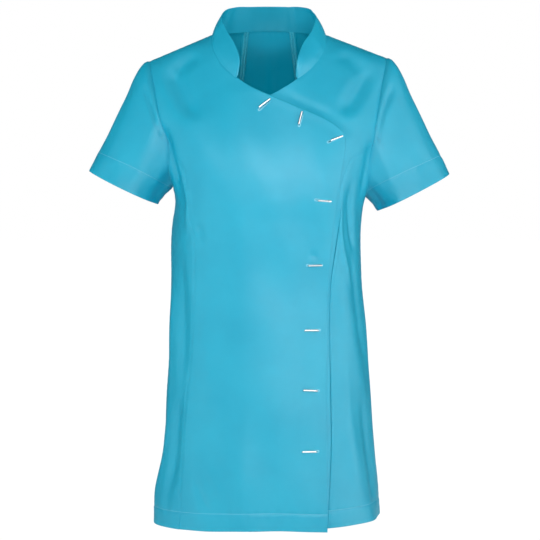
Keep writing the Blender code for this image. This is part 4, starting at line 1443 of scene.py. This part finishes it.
sheets = {
    "front_right": make_front(
        RIGHT, OVERLAP_SLANT, OVERLAP_DOWN, OVERLAP_STEPS, overlap_hem, True,
    ),
    "front_left": make_front(
        LEFT, UNDERLAP_SLANT, UNDERLAP_DOWN, UNDERLAP_STEPS, hem_height, False,
    ),
    "back_centre": [make_panel(
        back_centre, BACK, UNDERARM_STEP + BODY_STEPS, BACK_CENTRE_STEPS, 0.3,
    )],
}
for side in (RIGHT, LEFT):
    sheets["side_front_" + side.name] = [make_panel(
        partial(side_front, side), FRONT, BODY_STEPS, UNDERARM_STEP - PRINCESS_STEP,
        0.9 * side.sign,
    )]
    sheets["side_back_" + side.name] = [make_panel(
        partial(side_back, side), BACK, UNDERARM_STEP + BODY_STEPS,
        SHOULDER_STEPS + SIDE_NECK_STEPS, 1.7 * side.sign, UNDERARM_STEP,
    )]
    sheets["sleeve_" + side.name] = [make_sleeve(side)]
over = sheets["front_right"][1]
overlap_edge = np.concatenate((over.line("top", over.neck_end), over.line("inner", 1)))
for sheet in sheets["front_left"]:
    sink_beside(sheet, overlap_edge)
panels = {panel: cloth_piece(panel, sheets[panel], *cut) for panel, cut in CUT.items()}

collar_mesh = grids_mesh("collar_twill", make_collar())
collar = add_piece("collar_twill", collar_mesh, twill)
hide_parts("collar")

shape = bmesh.new()
shape.from_mesh(panels["front_right"].data)
for row, shift in zip(BARS, HOLE_SHIFTS):
    open_buttonhole(shape, row, shift)
shape.to_mesh(panels["front_right"].data)
shape.free()

rings = [buttonhole_ring(row, shift) for row, shift in zip(BARS, HOLE_SHIFTS)]
rings = [np.concatenate((ring, ring[:1])) for ring in rings]
ring_mesh = grids_mesh("buttonhole_thread", [(ring, ring[..., :2]) for ring in rings], closed=True)
add_piece("buttonhole_thread", ring_mesh, hole_thread)

hemmed = ["front_right", "front_left", "back_centre"]
for side in (RIGHT, LEFT):
    hemmed += [panel + side.name for panel in ("side_front_", "side_back_", "sleeve_")]
hem_paths = [sheets[panel][-1].stitch_path("bottom", sheets[panel][-1].stitched) for panel in hemmed]
stitches = stitch_mesh("hem_stitches", hem_paths, **HEM_STITCH)
add_piece("hem_stitches", stitches, hem_thread)

overlocked = [(panel, edge) for panel in BACKS for edge in ("outer", "inner")]
overlocked += [("side_front_right", "outer"), ("side_front_left", "outer")]
turnings = [sheets[panel][0].turning_path(edge, OVERLOCK_DEPTH) for panel, edge in overlocked]
overlock = stitch_mesh("overlock_stitches", turnings, **OVERLOCK_STITCH, crosswise=True)
inside = [panels[panel] for panel in BACKS]
inside.append(add_piece("overlock_stitches", overlock, overlock_thread))

shanks, bars = [], []
for number, row in enumerate(BARS, 1):
    place = bar_place(row) @ Matrix.Translation((0, 0, BAR_HEIGHT))
    rod = bar_rod(place)
    mesh = grids_mesh(f"bar_{number}_rod", [(rod, rod[..., :2])], closed=True)
    bar = add_piece(f"bar_{number}_rod", mesh, steel)
    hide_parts(f"bar_{number}")
    bars.append(bar)
    shank = shank_points(bar_place(row))
    shanks.append((shank, shank[..., :2]))
add_piece("bar_shanks", grids_mesh("bar_shanks", shanks, closed=True), hole_thread)

# ---- floor, light and camera

floor_mesh = bpy.data.meshes.new("floor")
ring = [(FLOOR_REACH * math.cos(turn), FLOOR_REACH * math.sin(turn), FLOOR_HEIGHT)
        for turn in np.arange(64) * math.pi / 32]
floor_mesh.from_pydata(ring, [], [tuple(range(64))])
floor_mesh.materials.append(pale_floor())
floor = bpy.data.objects.new("floor", floor_mesh)
bpy.context.scene.collection.objects.link(floor)


def softbox(name, place, aim, size, power, pieces=(), lit=True, shiny=True):
    """A soft lamp; with pieces given it lights those only, or all but those."""
    light = bpy.data.lights.new(name, "AREA")
    light.shape = "RECTANGLE"
    light.size, light.size_y = size
    light.energy = power
    lamp = bpy.data.objects.new(name, light)
    lamp.location = place
    lamp.visible_camera = False
    lamp.visible_glossy = shiny
    lamp.rotation_mode = "QUATERNION"
    lamp.rotation_quaternion = (Vector(aim) - Vector(place)).to_track_quat("-Z", "Y")
    bpy.context.scene.collection.objects.link(lamp)
    if pieces:
        linked = bpy.data.collections.new(name + "_pieces")
        for piece in pieces:
            linked.objects.link(piece)
        lamp.light_linking.receiver_collection = linked
        for entry in linked.collection_objects:
            entry.light_linking.link_state = "INCLUDE" if lit else "EXCLUDE"


softbox("front_softbox", (0.15, -1.5, 0.1), (0.0, 0.0, -0.25), (1.4, 0.6), 15.8, inside, lit=False)
softbox("upper_bar_softbox", (0.7, -1.6, 0.5), (0.0, 0.0, -0.35), (5.0, 2.6), 52.0, bars[:3])
softbox("lower_bar_softbox", (0.7, -1.6, -0.35), (0.0, 0.0, -0.35), (5.0, 2.0), 40.0, bars[3:])
softbox("top_softbox", (0.0, -1.0, 2.0), (0.0, 0.0, -0.3), (2.4, 1.6), 11.0, shiny=False)
softbox("neck_softbox", (0.0, -1.6, 0.5), (0.0, 0.0, -0.05), (0.6, 0.6), 14.5, inside, shiny=False)
softbox("low_softbox", (0.0, -2.2, -1.05), (0.0, 0.0, -0.3), (1.6, 0.5), 7.0, shiny=False)
softbox("inner_low_softbox", (0.0, -1.6, -0.9), (0.0, 0.0, -0.02), (0.5, 0.15), 7.0, inside, shiny=False)
softbox(
    "left_softbox", (-2.4, -1.0, -0.1), (0.0, 0.0, -0.35), (1.6, 2.2), 34.5,
    [panels["sleeve_left"]], lit=False, shiny=False,
)
softbox(
    "right_softbox", (2.4, -1.0, -0.1), (0.0, 0.0, -0.35), (1.6, 2.2), 31.0,
    [panels["sleeve_right"]], lit=False,
)
softbox("back_softbox", (0.9, 3.0, 0.3), (0.0, 0.0, -0.35), (2.0, 1.6), 36.0, shiny=False)

world = bpy.data.worlds.new("pale_studio")
world.use_nodes = True
bpy.context.scene.world = world
sky = world.node_tree
sky.nodes.clear()
rays = node(sky, "LightPath")
way = node(sky, "TexCoord")
height = node(sky, "SeparateXYZ", {0: way.outputs["Generated"]})
strength = node(
    sky, "MapRange",
    {"Value": height.outputs["Z"], "From Min": -0.6, "From Max": 0.7, "To Min": 0.24, "To Max": 0.04},
)
fill_light = node(
    sky, "Background", {"Color": (1.0, 1.0, 1.0, 1.0), "Strength": strength.outputs[0]},
)
seen = node(sky, "Background", {"Color": (1.0, 1.0, 1.0, 1.0), "Strength": 1.0})
both = node(
    sky, "MixShader",
    {0: rays.outputs["Is Camera Ray"], 1: fill_light.outputs[0], 2: seen.outputs[0]},
)
node(sky, "OutputWorld", {"Surface": both.outputs[0]})
grade = bpy.context.scene.view_settings
grade.view_transform = "Standard"
grade.use_curve_mapping = True
grade.curve_mapping.black_level = (0.004, 0.0, 0.0)

lens = bpy.data.cameras.new("camera")
lens.lens = 104.0
lens.sensor_width = 36.0
lens.clip_end = 200.0
camera = bpy.data.objects.new("camera", lens)
camera.location = (0.0016, -2.5, -0.295)
camera.rotation_mode = "QUATERNION"
camera.rotation_quaternion = Vector((0.0, 2.5, -0.079)).to_track_quat("-Z", "Y")
bpy.context.scene.collection.objects.link(camera)
bpy.context.scene.camera = camera

bpy.context.view_layer.update()
